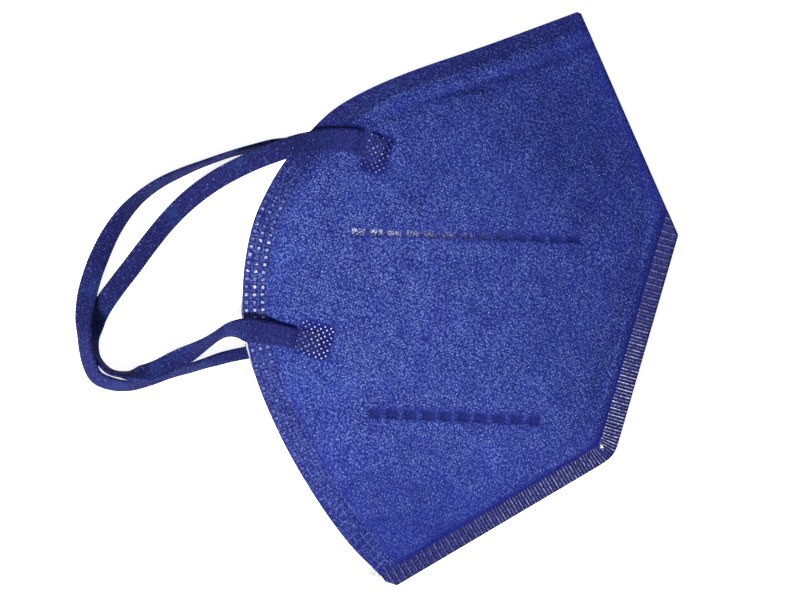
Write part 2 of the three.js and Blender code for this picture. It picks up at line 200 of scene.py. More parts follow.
def pocket_distance(x, y):
    """How far a place lies inside the fold and the weld."""
    distances = [
        edge_distance(FRONT_EDGES[0], x, y) - FOLD_RADIUS,
        edge_distance(FRONT_EDGES[1], x, y) - SEAM_INSET,
        edge_distance(FRONT_EDGES[2], x, y) - SEAM_INSET,
    ]
    return np.maximum(soft_min(distances, SWELL_SOFTNESS), 0)


def edge_half(x, y):
    """Half the thickness along the front: round at the fold, pressed flat in the weld."""
    into_fold = np.clip(1 - fold_distance(x, y) / FOLD_RADIUS, 0, 1)
    fold = FOLD_RADIUS * (1 - into_fold ** FOLD_SQUARENESS) ** (1 / FOLD_SQUARENESS)
    inset = seam_distance(x, y)
    weld = FLANGE_HALF
    for start, end, growth in FLANGE_SWELLS:
        weld = weld + growth * smooth(start, end, inset)
    return np.minimum(fold, weld)


def mounds(x, y):
    total = np.zeros_like(x)
    for mx, my, along, across, turn, height in MOUNDS:
        c, s = math.cos(math.radians(turn)), math.sin(math.radians(turn))
        a = ((x - mx) * c + (y - my) * s) / along
        b = ((y - my) * c - (x - mx) * s) / across
        total = total + height * np.exp(-a * a - b * b)
    return total


def near_height(x, y):
    """Height of the near half's outer face, without its marks."""
    inside = pocket_distance(x, y)
    ends = 1 - NOSE_LOSS * smooth(0.015, HALF_LENGTH, y)
    ends = ends - CHIN_LOSS * smooth(0.025, HALF_LENGTH, -y)
    late = 1 + 0.25 * smooth(0.020, 0.040, y)
    swell = PUFF * (1 - np.exp(-(inside / PUFF_REACH) ** late)) * ends
    droop = RIM_DROOP * np.exp(-rim_distance(x, y) / DROOP_REACH) * smooth(0.002, 0.020, inside)
    soft = mounds(x, y) * smooth(0, 0.012, inside)
    return MID_HEIGHT + edge_half(x, y) + swell - droop + soft


def far_height(x, y):
    """Height of the far half's outer face: flat on the surface, but over the loop ends."""
    inside = pocket_distance(x, y)
    edge = (MID_HEIGHT - edge_half(x, y)) * (1 - smooth(0, 0.005, inside))
    over_loops = 1 - smooth(*REST_INSET, rim_distance(x, y))
    over_loops = over_loops * (1 - smooth(*REST_Y, np.abs(y)))
    return np.maximum(edge, REST_LIFT * over_loops * smooth(0.002, 0.016, inside))


# -------------------- meshes


def add_mesh(name, points, faces, smooth_angle, uv=None, loft=None):
    """A new object from points and faces. UV map and loft are given point by point."""
    mesh = bpy.data.meshes.new(name)
    mesh.from_pydata(points.tolist(), [], faces)
    if uv is not None:
        layer = mesh.uv_layers.new(name="pattern")
        corners = np.empty(len(mesh.loops), dtype=np.int32)
        mesh.loops.foreach_get("vertex_index", corners)
        layer.data.foreach_set("uv", np.asarray(uv, dtype=np.float32)[corners].ravel())
    if loft is not None:
        values = mesh.attributes.new("loft", "FLOAT", "POINT")
        values.data.foreach_set("value", np.asarray(loft, dtype=np.float32).ravel())
    mesh.validate()
    piece = bpy.data.objects.new(name, mesh)
    bpy.context.scene.collection.objects.link(piece)
    bpy.ops.object.select_all(action="DESELECT")
    bpy.context.view_layer.objects.active = piece
    piece.select_set(True)
    bpy.ops.object.shade_smooth_by_angle(angle=math.radians(smooth_angle))
    piece.select_set(False)
    return piece


def unit(vectors):
    return vectors / np.maximum(np.linalg.norm(vectors, axis=-1, keepdims=True), 1e-12)


def ring_faces(rings, count, first=0):
    """Quads between rings of count points, one ring after the other."""
    faces = []
    for start in range(first, first + (rings - 1) * count, count):
        for k in range(count):
            a, b = start + k, start + (k + 1) % count
            faces.append((a, b, b + count, a + count))
    return faces


def closed_tube(rings, count):
    ends = [tuple(range(count))[::-1], tuple(range((rings - 1) * count, rings * count))]
    return ring_faces(rings, count) + ends


def grid_faces(rows, columns, first=0, flip=False):
    faces = []
    for r in range(rows - 1):
        for c in range(columns - 1):
            a = first + r * columns + c
            quad = (a, a + 1, a + columns + 1, a + columns)
            faces.append(quad[::-1] if flip else quad)
    return faces


def border_of(rows, columns, first=0):
    """Indices round the border of a grid, from its first corner."""
    index = first + np.arange(rows * columns).reshape(rows, columns)
    sides = index[0, :-1], index[:-1, -1], index[-1, :0:-1], index[:0:-1, 0]
    return np.concatenate(sides).tolist()


def stitch(fine, coarse, step, flip):
    """Triangles between a fine border and a coarse one with every step-th point."""
    faces = []
    half = step // 2
    for k, here in enumerate(coarse):
        there = coarse[(k + 1) % len(coarse)]
        run = [fine[(k * step + j) % len(fine)] for j in range(step + 1)]
        faces += [(here, run[j + 1], run[j]) for j in range(half)]
        faces.append((here, there, run[half]))
        faces += [(there, run[j + 1], run[j]) for j in range(half, step)]
    return [face[::-1] for face in faces] if flip else faces


def grid_normals(grid):
    return unit(np.cross(np.gradient(grid, axis=1), np.gradient(grid, axis=0)))


def closed_sheet(name, outer, inner, step, up, smooth_angle, uv, loft):
    """A closed sheet: a fine outer face, a coarser inner one and a strip round their borders."""
    rows, columns = outer.shape[:2]
    inner_rows, inner_columns = inner.shape[:2]
    first = rows * columns
    faces = grid_faces(rows, columns, 0, flip=not up)
    faces += grid_faces(inner_rows, inner_columns, first, flip=up)
    fine = border_of(rows, columns)
    coarse = border_of(inner_rows, inner_columns, first)
    faces += stitch(fine, coarse, step, flip=not up)
    points = np.concatenate([outer.reshape(-1, 3), inner.reshape(-1, 3)])
    uvs = np.concatenate([uv.reshape(-1, 2), uv[::step, ::step].reshape(-1, 2)])
    lofts = np.concatenate([loft.ravel(), loft[::step, ::step].ravel()])
    return add_mesh(name, points, faces, smooth_angle, uvs, lofts)


def run_along(points):
    """How far along a polyline each of its points lies."""
    steps = np.linalg.norm(np.diff(points, axis=0), axis=1)
    return np.concatenate([[0], np.cumsum(steps)])


def evenly(points, count):
    """Points at even steps along a polyline, and its length."""
    run = run_along(points)
    at = np.linspace(0, run[-1], count)
    even = [np.interp(at, run, points[:, k]) for k in range(points.shape[1])]
    return np.stack(even, axis=1), run[-1]


# -------------------- ear loops

BAND_WIDTH = 0.0052
BAND_THICKNESS = 0.0010
PAD_WIDTH = 0.0070  # the band's ends are pressed this wide
PAD_SINK = 0.0009  # and this much closer to the shell
PAD_PRESSED = 0.65  # share of the thickness lost there
LAID_FLAT = 0.40  # share lost where a band lies on the mask
BAND_STEP = 0.00016
STITCH_PITCH = 0.00080  # the band's edge bulges at each course of stitches
STITCH_BULGE = 0.00006
PRESSED_END, LAID_END = (0.0055, 0.0085), (0.0120, 0.0200)  # how far from an end both fade out
END_DIP, END_DIP_REACH = 0.2, 0.0025  # the very ends sink in by this share more
# loft of the pads and of what lies flat beside them, at the nose and at the chin
PAD_LOFT, LAID_LOFT = (0.75, 0.35), (0.8, 0.4)

# Routes: x, y, height (None for the near half's face), height over that face, roll in degrees,
# the outer edge up when positive, width
NEAR_LOOP = [
    (-0.0278, 0.0280, None, 0.0009, 0, PAD_WIDTH),
    (-0.0320, 0.0285, None, 0.0009, 0, PAD_WIDTH),
    (-0.0370, 0.0283, None, 0.0005, -3, 0.0064),
    (-0.0430, 0.0264, None, 0.0007, -4, 0.0062),
    (-0.0491, 0.0234, None, 0.0011, -5, 0.0057),
    (-0.0559, 0.0185, 0.0122, 0, 0, BAND_WIDTH),
    (-0.0618, 0.0135, 0.0096, 0, 4, BAND_WIDTH),
    (-0.0676, 0.0075, 0.0064, 0, 6, BAND_WIDTH),
    (-0.0726, 0.0006, 0.0038, 0, 12, BAND_WIDTH),
    (-0.0761, -0.0060, 0.0023, 0, 18, BAND_WIDTH),
    (-0.0789, -0.0130, 0.0017, 0, 20, BAND_WIDTH),
    (-0.0817, -0.0210, 0.0011, 0, 8, BAND_WIDTH),
    (-0.0842, -0.0280, 0.0008, 0, 2, BAND_WIDTH),
    (-0.0860, -0.0345, 0.0008, 0, 3, BAND_WIDTH),
    (-0.0861, -0.0386, 0.0010, 0, 8, 0.0048),
    (-0.0858, -0.0414, 0.0016, 0, 28, 0.0043),
    (-0.0846, -0.0440, 0.0021, 0, 56, 0.0041),
    (-0.0826, -0.0465, 0.0025, 0, 75, 0.0045),
    (-0.0786, -0.0486, 0.0029, 0, 80, BAND_WIDTH),
    (-0.0746, -0.0482, 0.0035, 0, 77, BAND_WIDTH),
    (-0.0714, -0.0468, 0.0054, 0, 48, BAND_WIDTH),
    (-0.0676, -0.0449, 0.0063, 0, 14, BAND_WIDTH),
    (-0.0636, -0.0412, 0.0066, 0, 0, BAND_WIDTH),
    (-0.0600, -0.0375, 0.0074, 0, -32, BAND_WIDTH),
    (-0.0568, -0.0338, 0.0091, 0, -60, BAND_WIDTH),
    (-0.0535, -0.0301, 0.0111, 0, -64, BAND_WIDTH),
    (-0.0506, -0.0280, 0.0128, 0, -32, BAND_WIDTH),
    (-0.0472, -0.0270, None, 0.0011, -5, 0.0064),
    (-0.0420, -0.0262, None, 0.0007, -3, 0.0061),
    (-0.0368, -0.0256, None, 0.0005, 0, 0.0056),
    (-0.0324, -0.0251, None, 0.0009, 0, 0.0055),
    (-0.0282, -0.0244, None, 0.0009, 0, 0.0058),
]
FAR_LOOP = [
    (-0.0278, 0.0274, 0.00075, 0, 0, PAD_WIDTH),
    (-0.0330, 0.0272, 0.00075, 0, 0, PAD_WIDTH),
    (-0.0405, 0.0263, 0.00075, 0, 0, 0.0048),
    (-0.0478, 0.0244, 0.00075, 0, 2, 0.0034),
    (-0.0538, 0.0221, 0.0012, 0, 22, 0.0036),
    (-0.0588, 0.0197, 0.0023, 0, 60, 0.0046),
    (-0.0645, 0.0165, 0.0028, 0, 79, BAND_WIDTH),
    (-0.0715, 0.0113, 0.0028, 0, 78, BAND_WIDTH),
    (-0.0770, 0.0067, 0.0028, 0, 70, BAND_WIDTH),
    (-0.0813, 0.0025, 0.0027, 0, 65, BAND_WIDTH),
    (-0.0850, -0.0025, 0.0026, 0, 59, BAND_WIDTH),
    (-0.0876, -0.0076, 0.0024, 0, 46, BAND_WIDTH),
    (-0.0895, -0.0140, 0.0021, 0, 32, BAND_WIDTH),
    (-0.0904, -0.0204, 0.0019, 0, 16, BAND_WIDTH),
    (-0.0907, -0.0262, 0.0021, 0, -2, BAND_WIDTH),
    (-0.0904, -0.0316, 0.0020, 0, -6, BAND_WIDTH),
    (-0.0895, -0.0368, 0.0026, 0, -15, 0.0048),
    (-0.0879, -0.0412, 0.0041, 0, -38, 0.0048),
    (-0.0862, -0.0450, 0.0044, 0, -46, BAND_WIDTH),
    (-0.0841, -0.0485, 0.0038, 0, -46, BAND_WIDTH),
    (-0.0814, -0.0511, 0.0031, 0, -48, BAND_WIDTH),
    (-0.0773, -0.0516, 0.0028, 0, -52, BAND_WIDTH),
    (-0.0725, -0.0506, 0.0026, 0, -63, BAND_WIDTH),
    (-0.0679, -0.0475, 0.0025, 0, -58, BAND_WIDTH),
    (-0.0633, -0.0441, 0.0026, 0, -62, BAND_WIDTH),
    (-0.0586, -0.0412, 0.0027, 0, -66, BAND_WIDTH),
    (-0.0544, -0.0382, 0.0023, 0, -58, 0.0046),
    (-0.0504, -0.0355, 0.0014, 0, -30, 0.0036),
    (-0.0460, -0.0330, 0.0008, 0, -4, 0.0034),
    (-0.0414, -0.0306, 0.00075, 0, 0, 0.0042),
    (-0.0366, -0.0280, 0.00075, 0, 0, BAND_WIDTH),
    (-0.0330, -0.0260, 0.00075, 0, 0, PAD_WIDTH),
    (-0.0290, -0.0239, 0.00075, 0, 0, PAD_WIDTH),
]


def lean(x, y, k):
    """How the near half's face leans under a band, in degrees, its inner side up if positive."""
    reach = 0.002
    before, after = max(k - 1, 0), min(k + 1, len(x) - 1)
    run = np.array((x[after] - x[before], y[after] - y[before]))
    side_x, side_y = np.array((-run[1], run[0])) / np.linalg.norm(run) * reach
    rise = near_height(x[k] + side_x, y[k] + side_y) - near_height(x[k] - side_x, y[k] - side_y)
    return math.degrees(math.atan2(rise, 2 * reach))


def through_points(points, at):
    """Centripetal Catmull-Rom curve: the place at index 2.5 lies half way from point 2 to 3."""
    ends = [2 * points[0] - points[1], *points, 2 * points[-1] - points[-2]]
    p = np.array(ends)
    gaps = np.sqrt(np.linalg.norm(np.diff(p, axis=0), axis=1))
    i = np.clip(at.astype(int), 0, len(points) - 2)
    t = (at - i)[:, None]
    p0, p1, p2, p3 = p[i], p[i + 1], p[i + 2], p[i + 3]
    g0, g1, g2 = gaps[i][:, None], gaps[i + 1][:, None], gaps[i + 2][:, None]
    m1 = ((p1 - p0) / g0 - (p2 - p0) / (g0 + g1) + (p2 - p1) / g1) * g1
    m2 = ((p2 - p1) / g1 - (p3 - p1) / (g1 + g2) + (p3 - p2) / g2) * g1
    h1 = t * t * (3 - 2 * t)
    return p1 * (1 - h1) + p2 * h1 + m1 * t * (1 - t) ** 2 + m2 * t * t * (t - 1)


def band_section(count=5):
    """Unit cross-section of a flat band with rounded edges: side -1 to 1, out -1 to 1."""
    flat = [(s, 1.0) for s in np.linspace(0.8, -0.8, count)]
    left = [(-0.93, 0.8), (-1.0, 0.3), (-1.0, -0.3), (-0.93, -0.8)]
    upper = flat + left
    return np.array(upper + [(-s, -t) for s, t in upper])


def loop_shape(route, sink):
    """Centre line at even steps, with its side and out directions and its half width."""
    rows = len(route)
    x, y, height, over, roll, width = (np.array(column, dtype=float) for column in zip(*route))
    on_face = np.isnan(height)
    face = near_height(x, y) + over
    points = np.stack([x, y, np.where(on_face, face, height)], axis=1)
    roll = np.array([roll[k] - (lean(x, y, k) if on_face[k] else 0) for k in range(rows)])
    fine = np.linspace(0, rows - 1, rows * 60)
    run = run_along(through_points(points, fine))
    length = run[-1]
    along = np.linspace(0, length, int(length / BAND_STEP))
    at = np.interp(along, run, fine)
    centre = through_points(points, at)
    index = np.arange(rows)
    half = read_curve(np.stack([index, width], axis=1), at) / 2
    turn = -np.radians(read_curve(np.stack([index, roll], axis=1), at))[:, None]
    ahead = unit(np.gradient(centre, axis=0))
    level = unit(np.stack([-ahead[:, 1], ahead[:, 0], np.zeros(len(at))], axis=1))
    side = level * np.cos(turn) + np.cross(ahead, level) * np.sin(turn)
    out = np.cross(ahead, side)
    from_end = np.minimum(along, length - along)
    pressed = 1 - smooth(*PRESSED_END, from_end)
    flattened = np.maximum(PAD_PRESSED * pressed, LAID_FLAT * (1 - smooth(*LAID_END, from_end)))
    at_end = 1 - smooth(0, END_DIP_REACH, from_end)
    centre[:, 2] += sink * (pressed + END_DIP * at_end)
    return centre, side, out, half, pressed, flattened, along, length


def add_ear_loop(name, node, shape):
    centre, side, out, half, pressed, flattened, along, length = shape
    section = band_section()
    stitch_phase = 2 * math.pi * along / STITCH_PITCH
    bulge = STITCH_BULGE * np.cos(stitch_phase) * (1 - pressed)
    thick = BAND_THICKNESS / 2 * (1 - flattened)
    edge = np.abs(section[:, 0]) ** 6
    reach = section[None, :, 0] * (half[:, None] + bulge[:, None] * edge[None, :])
    rise = section[None, :, 1] * thick[:, None]
    rings = centre[:, None] + side[:, None] * reach[..., None] + out[:, None] * rise[..., None]
    count = len(section)
    faces = closed_tube(len(rings), count)
    run = np.repeat(along[:, None], count, axis=1)
    uv = np.stack([run, reach], axis=2).reshape(-1, 2)
    by_nose = centre[:, 1] > 0
    laid = np.where(by_nose, *LAID_LOFT) * np.minimum(flattened / LAID_FLAT, 1)
    loft = np.repeat(np.maximum(pressed * np.where(by_nose, *PAD_LOFT), laid), count)
    piece = add_mesh(name, rings.reshape(-1, 3), faces, smooth_angle=50, uv=uv, loft=loft)
    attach(piece, BODY)
    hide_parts(node)
    return piece


near_shape = loop_shape(NEAR_LOOP, -PAD_SINK)
far_shape = loop_shape(FAR_LOOP, PAD_SINK)
near_band = add_ear_loop("near_ear_band", "ear_loop_near", near_shape)
far_band = add_ear_loop("far_ear_band", "ear_loop_far", far_shape)

# -------------------- marks pressed into the shell

RIM_DEPTH, RIM_EDGE = 0.00030, (0.0058, 0.0070)  # welded band along the face rim
NOSE_NARROWING = 0.0022  # what the band loses in width at the nose
# Inset, reach and height of what runs along the band: a valley, and at the nose a ridge and
# a groove instead
VALLEY = (0.0071, 0.0007, 0.00022)
NOSE_RIDGE = (0.0062, 0.0018, 0.0004)
NOSE_GROOVE = (0.0093, 0.0016, 0.0008)
DOT_RISE = 0.00020
DOT_PITCH = 0.00213
DOT_ROW_PITCH = 0.0021
DOT_FIRST = 0.00105
DOT_HALF = 0.00055

# Rows of pressed dashes: both ends of the row, number, length and width of the dashes, how pale
# the first ones are, and the share of the row over which that wears off
DASH_ROWS = [
    dict(start=(-0.0292, 0.0059), end=(0.0284, 0.0223), count=13, length=0.0034, width=0.0016,
         pale=1.0, worn=0.8),
    dict(start=(-0.0104, -0.0378), end=(0.0331, -0.0260), count=10, length=0.0032, width=0.0024,
         pale=0.0, worn=1.0),
]
DASH_DEPTH = 0.00035
PAD_DEPTH = 0.0002
# The ear loops' weld pads: middle, and half the length of their sides
NEAR_PADS = [(-0.0293, 0.0273, 0.0028, 0.0047), (-0.0297, -0.0239, 0.0042, 0.0042)]
FAR_PADS = [(-0.0296, 0.0274, 0.0042, 0.0047), (-0.0306, -0.0246, 0.0042, 0.0047)]


def box_mask(offset, half, softness):
    return 1 - smooth(half - softness / 2, half + softness / 2, np.abs(offset))


def beside_dashes(row, x, y):
    """How far along a row of dashes a place lies and how far beside it, and the row's length."""
    start, end = np.array(row["start"]), np.array(row["end"])
    length = np.linalg.norm(end - start)
    heading = (end - start) / length
    along = (x - start[0]) * heading[0] + (y - start[1]) * heading[1]
    across = (y - start[1]) * heading[0] - (x - start[0]) * heading[1]
    return along, across, length


def dash_mask(row, x, y, softness):
    along, across, length = beside_dashes(row, x, y)
    along = along - row["length"] / 2
    pitch = (length - row["length"]) / (row["count"] - 1)
    nearest = np.clip(np.round(along / pitch), 0, row["count"] - 1) * pitch
    inside = box_mask(along - nearest, row["length"] / 2, softness)
    return inside * box_mask(across, row["width"] / 2, softness)


def dash_row_mask(row, x, y):
    """1 along a whole row of dashes, fading out beside it."""
    along, across, length = beside_dashes(row, x, y)
    inside = smooth(-0.001, 0.001, along) * (1 - smooth(length - 0.001, length + 0.001, along))
    return inside * box_mask(across, row["width"] / 2 + 0.0007, 0.0012)


def nose_share(y):
    return smooth(0.030, 0.046, y) * (1 - 0.6 * smooth(0.072, 0.079, y))


def rim_relief(run, inset, y):
    """Welded band along the rim: pressed, with raised dots, then a valley; a ridge at the nose."""
    along = (run / DOT_PITCH + 0.5) % 1 - 0.5
    row = np.clip(np.round((inset - DOT_FIRST) / DOT_ROW_PITCH), 0, 2)
    across = inset - DOT_FIRST - row * DOT_ROW_PITCH
    dots = box_mask(along * DOT_PITCH, DOT_HALF, 0.0005) * box_mask(across, DOT_HALF, 0.0005)
    dots = dots * (1 - smooth(0.026, 0.040, y)) * (1 - 0.6 * smooth(0.015, 0.045, -y))
    nose = nose_share(y)
    pressed = -RIM_DEPTH * (1 - smooth(*RIM_EDGE, inset + NOSE_NARROWING * nose))
    at, reach, depth = VALLEY
    valley = -depth * bell(inset - at, reach) * (1 - nose)
    at, reach, height = NOSE_RIDGE
    ridge = height * bell(inset - at, reach)
    at, reach, depth = NOSE_GROOVE
    sway = 0.0005 * np.sin(run * 310) + 0.0003 * np.sin(run * 730)
    deep = 0.75 + 0.35 * np.sin(run * 210 + 1)
    ridge = ridge - depth * deep * bell(inset - at + sway, reach)
    return pressed + DOT_RISE * dots + valley + nose * ridge


def pad_mask(pads, x, y):
    """1 on the square weld pads, fading out round them."""
    total = np.zeros_like(x)
    for pad_x, pad_y, half_x, half_y in pads:
        beyond_x = np.maximum(np.abs(x - pad_x) - half_x + 0.001, 0)
        beyond_y = np.maximum(np.abs(y - pad_y) - half_y + 0.001, 0)
        total = total + 1 - smooth(0.0005, 0.0026, np.hypot(beyond_x, beyond_y))
    return total


def wrinkles(x, y, seed, height, waves=48):
    """Fine unevenness of the soft sheets."""
    draw = np.random.RandomState(seed)
    total = np.zeros_like(x)
    for _ in range(waves):
        turn = draw.uniform(0, math.pi)
        length = draw.uniform(0.004, 0.014)
        phase = draw.uniform(0, 2 * math.pi)
        wave = (x * math.cos(turn) + y * math.sin(turn)) * 2 * math.pi / length + phase
        total = total + np.sin(wave)
    return total * height * math.sqrt(2 / waves)


def web_loft(x, y, rim):
    """How loose the top fibres are: 0 where they are pressed or drawn smooth, 1 in the middle."""
    inset, nose = rim_distance(x, y, rim), nose_share(y)
    away_from_weld = smooth(0.0047, 0.0066, seam_distance(x, y))
    away_from_fold = 0.55 + 0.45 * smooth(0.001, 0.004, fold_distance(x, y))
    beside_rim = 1 - 0.45 * bell(inset - 0.0073, 0.0008) * (1 - nose)
    beside_rim = beside_rim * (1 - 0.5 * nose * bell(inset - 0.0095, 0.0014))
    return away_from_weld * away_from_fold * beside_rim


NOSE_SHADE, FRONT_SHADE, CHIN_SHADE = 0.32, 0.28, 0.46  # share of the near half's loft taken away there as painted shade
DASH_SMOOTHING = 0.45
NOSE_PAD_SMOOTHING, CHIN_PAD_SMOOTHING = 1.3, 1.2
# painted shadow of the near band on the shell: its strength, where it begins and its reach
BAND_SHADOW_STRENGTH = 1.5
BAND_SHADOW_FROM_X = -0.052  # the band lies on the shell from here on
BAND_SHADOW_REACH = 0.0011


def band_shadow_strip(x, y):
    """Strip of the shell beside the near band's upper edge, where the band's shadow is painted."""
    centre, side, _, half, pressed = near_shape[:5]
    edge = centre + side * (half * np.sign(side[:, 1]))[:, None]
    edge = edge[(edge[:, 0] > BAND_SHADOW_FROM_X) & (pressed < 0.5)]
    away = np.full(np.shape(x), 1.0)
    for shaded_x, shaded_y, _ in edge[::4]:
        away = np.minimum(away, np.hypot(x - shaded_x, y - shaded_y))
    return bell(away, BAND_SHADOW_REACH)


def near_loft_and_shade(x, y):
    """The near half's loft, below 0 on the pressed pads and on the near band's painted shadow."""
    loft = web_loft(x, y, rim_x)
    for row in DASH_ROWS:
        loft = loft * (1 - DASH_SMOOTHING * dash_row_mask(row, x, y))
    # painted shade: the web darker and less flecked towards the nose, the front and the chin
    left = 1 - NOSE_SHADE * smooth(-0.010, 0.060, y) - FRONT_SHADE * smooth(-0.030, 0.045, x)
    left = left - CHIN_SHADE * smooth(0.030, 0.070, -y)
    nose_pad, chin_pad = (pad_mask([pad], x, y) for pad in NEAR_PADS)
    pads = NOSE_PAD_SMOOTHING * nose_pad + CHIN_PAD_SMOOTHING * chin_pad
    return loft * left - np.maximum(pads, BAND_SHADOW_STRENGTH * band_shadow_strip(x, y))


def far_loft(x, y):
    return web_loft(x, y, far_rim_x)


def wall_thickness(x, y, rim):
    at_rim = smooth(*RIM_TO_FULL, rim_distance(x, y, rim))
    at_weld = smooth(0.0045, 0.0085, seam_distance(x, y))
    return RIM_WALL + (SHELL_WALL - RIM_WALL) * np.minimum(at_rim, at_weld)


# -------------------- shell

SHELL_HEM = 0.0004  # the halves end this far inside the weld's outer edge
RIM_BAND = 0.0084  # stretches with columns of their own, beside the rim and the front
FRONT_BAND = 0.0082
STEP_INSIDE = 4  # the inner face has every fourth row and column
# Rows along the rim, and columns: beside the rim, in the middle, before the front and round it
NEAR_GRID = dict(rows=561, band=26, middle=110, flat_front=15, round_front=9)
FAR_GRID = dict(rows=401, band=18, middle=78, flat_front=10, round_front=6)


def front_line(fold_inset, seam_inset):
    """The front from chin to nose, set in from the fold and from the weld's edge."""
    x = front_x(DENSE_Y)
    slant = np.hypot(1, np.gradient(x, DENSE_Y))
    inset = fold_inset + (seam_inset - fold_inset) * (1 - smooth(0.0290, 0.0330, DENSE_Y))
    return np.stack([x - inset * slant, DENSE_Y], axis=1)


def turned_right(directions):
    return np.stack([directions[:, 1], -directions[:, 0]], axis=1)


def sheet_places(rim, front, rows, band, middle, flat_front, round_front):
    """Places of a sheet's grid, with the run along the rim. Rows go from the rim to the front."""
    rim_points, rim_length = evenly(np.stack([rim(DENSE_Y), DENSE_Y], axis=1), rows)
    front_points, _ = evenly(front, rows)
    run = np.linspace(0, rim_length, rows)
    reach = front_points - rim_points
    length = np.linalg.norm(reach, axis=1, keepdims=True)
    heading = reach / length
    inward = turned_right(unit(np.gradient(rim_points, axis=0)))
    outward = turned_right(unit(np.gradient(front_points, axis=0)))
    near_end = smooth(0, 0.006, run) * smooth(0, 0.006, rim_length - run)
    start = unit(heading + (inward - heading) * near_end[:, None])
    slant = np.clip(np.sum(heading * outward, axis=1, keepdims=True), 0.6, 1)
    rim_end = rim_points + start * np.minimum(RIM_BAND, 0.4 * length)
    front_start = front_points - heading * np.minimum(FRONT_BAND / slant, 0.4 * length)
    curve = 1 - np.cos(np.linspace(math.pi / 2, 0, round_front + 1)[1:])
    flat = np.linspace(FRONT_BAND, FOLD_RADIUS, flat_front + 1)[1:]
    insets = np.concatenate([flat, curve * FOLD_RADIUS]) / FRONT_BAND
    a = np.linspace(0, 1, band + 1)[None, :, None]
    b = np.linspace(0, 1, middle + 1)[None, 1:, None]
    c = (1 - insets)[None, :, None]
    parts = [
        rim_points[:, None] + (rim_end - rim_points)[:, None] * a,
        rim_end[:, None] + (front_start - rim_end)[:, None] * b,
        front_start[:, None] + (front_points - front_start)[:, None] * c,
    ]
    places = np.concatenate(parts, axis=1)
    return places[..., 0], places[..., 1], np.repeat(run[:, None], places.shape[1], axis=1)


def add_half(name, rim, height, marks, loft, up, grid):
    """One half of the shell: its face with its marks, and an inner face a wall away."""
    x, y, run = sheet_places(rim, front_line(0.0, SHELL_HEM), **grid)
    inset = rim_distance(x, y, rim)
    base = height(x, y)
    facing = 1 if up else -1
    calm = smooth(0.0, 0.004, pocket_distance(x, y))
    relief = rim_relief(run, inset, y) * smooth(0.004, 0.0075, seam_distance(x, y))
    relief = relief + marks(x, y) * calm
    outer = np.stack([x, y, np.maximum(base + facing * relief, 0)], axis=2)
    plain = np.stack([x, y, base], axis=2)
    normals = grid_normals(plain)
    normals[..., 2] = np.abs(normals[..., 2])
    folded = fold_distance(x[:, -1], y[:, -1]) < FOLD_RADIUS / 10
    outline = np.stack([x[:, -1], y[:, -1]], axis=1)
    normals[folded, -1, :2] = facing * turned_right(unit(np.gradient(outline, axis=0)))[folded]
    normals[folded, -1, 2] = 0
    wall = wall_thickness(x, y, rim)[..., None]
    inner = (plain - facing * normals * wall)[::STEP_INSIDE, ::STEP_INSIDE]
    uv = np.stack([run, inset], axis=2)
    piece = closed_sheet(
        name, outer, inner, STEP_INSIDE, up, smooth_angle=55, uv=uv, loft=loft(x, y),
    )
    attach(piece, BODY)
    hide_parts("outer_shell")
    return piece


def near_marks(x, y):
    dashes = sum(dash_mask(row, x, y, softness=0.0006) for row in DASH_ROWS)
    soft = wrinkles(x, y, seed=5, height=0.00006)
    return soft - DASH_DEPTH * dashes - PAD_DEPTH * pad_mask(NEAR_PADS, x, y)


def far_marks(x, y):
    return wrinkles(x, y, seed=9, height=0.00004) - PAD_DEPTH * pad_mask(FAR_PADS, x, y)


near_half = add_half(
    "shell_near_half", rim_x, near_height, near_marks, near_loft_and_shade, up=True, grid=NEAR_GRID,
)
far_half = add_half(
    "shell_far_half", far_rim_x, far_height, far_marks, far_loft, up=False, grid=FAR_GRID,
)

# -------------------- front weld

RIB_PITCH = 0.00179
RIB_HALF = 0.00018
WELD_ROWS = 1001
WELD_ABOVE_TIP = 0.0053  # the weld runs up beyond the tip, cut off by the fold
WELD_PAST_CHIN = 0.0022
CORNER_SPOT_MIDDLE = (0.0506, -0.0277, 0.0031)  # middle of a white spot painted in the corner
CORNER_RUN = 0.0665  # how far along the weld the corner lies
FAN_REACH = 0.0038  # the ribs fan out this far to both sides of the corner
DENSE_FROM, DENSE_TO = (0.014, 0.030), (0.096, 0.122)  # more ribs, half way between the others
RIB_RISE = 0.00026
WELD_EDGE_HALF = 0.00045
WELD_SINK = 0.00010  # the ribs stand in a hollow this deep
WELD_COLUMNS = np.array([0, 2, 6, 14, 24, 34, 44, 54, 64, 74, 84, 92, 97, 100]) / 100


def weld_rows():
    """Start points of the weld's rows, along its outer edge, with the way each row heads in."""
    upright = unit(SEAM_CORNER - FOLD_TIP)
    lower = unit(CHIN - SEAM_CORNER)
    top = FOLD_TIP[1] - upright[1] * WELD_ABOVE_TIP
    bottom = CHIN[1] + lower[1] * WELD_PAST_CHIN
    y = np.linspace(top, bottom, 4000)
    x = soft_min([edge_x(edge, y) for edge in FRONT_EDGES[1:]], CORNER_SOFTNESS)
    starts, length = evenly(np.stack([x, y], axis=1), WELD_ROWS)
    run = np.linspace(0, length, WELD_ROWS)
    straight = turned_right(unit(np.gradient(starts, axis=0)))
    window = int(2 * FAN_REACH / length * WELD_ROWS) // 2
    padded = np.concatenate([np.repeat(straight[:1], window, axis=0), straight,
                             np.repeat(straight[-1:], window, axis=0)])
    kernel = np.ones(2 * window + 1) / (2 * window + 1)
    inward = unit(np.stack([np.convolve(padded[:, k], kernel, "valid") for k in range(2)], axis=1))
    stretch = 1 / np.sum(inward * straight, axis=1)
    return starts, inward, stretch, run


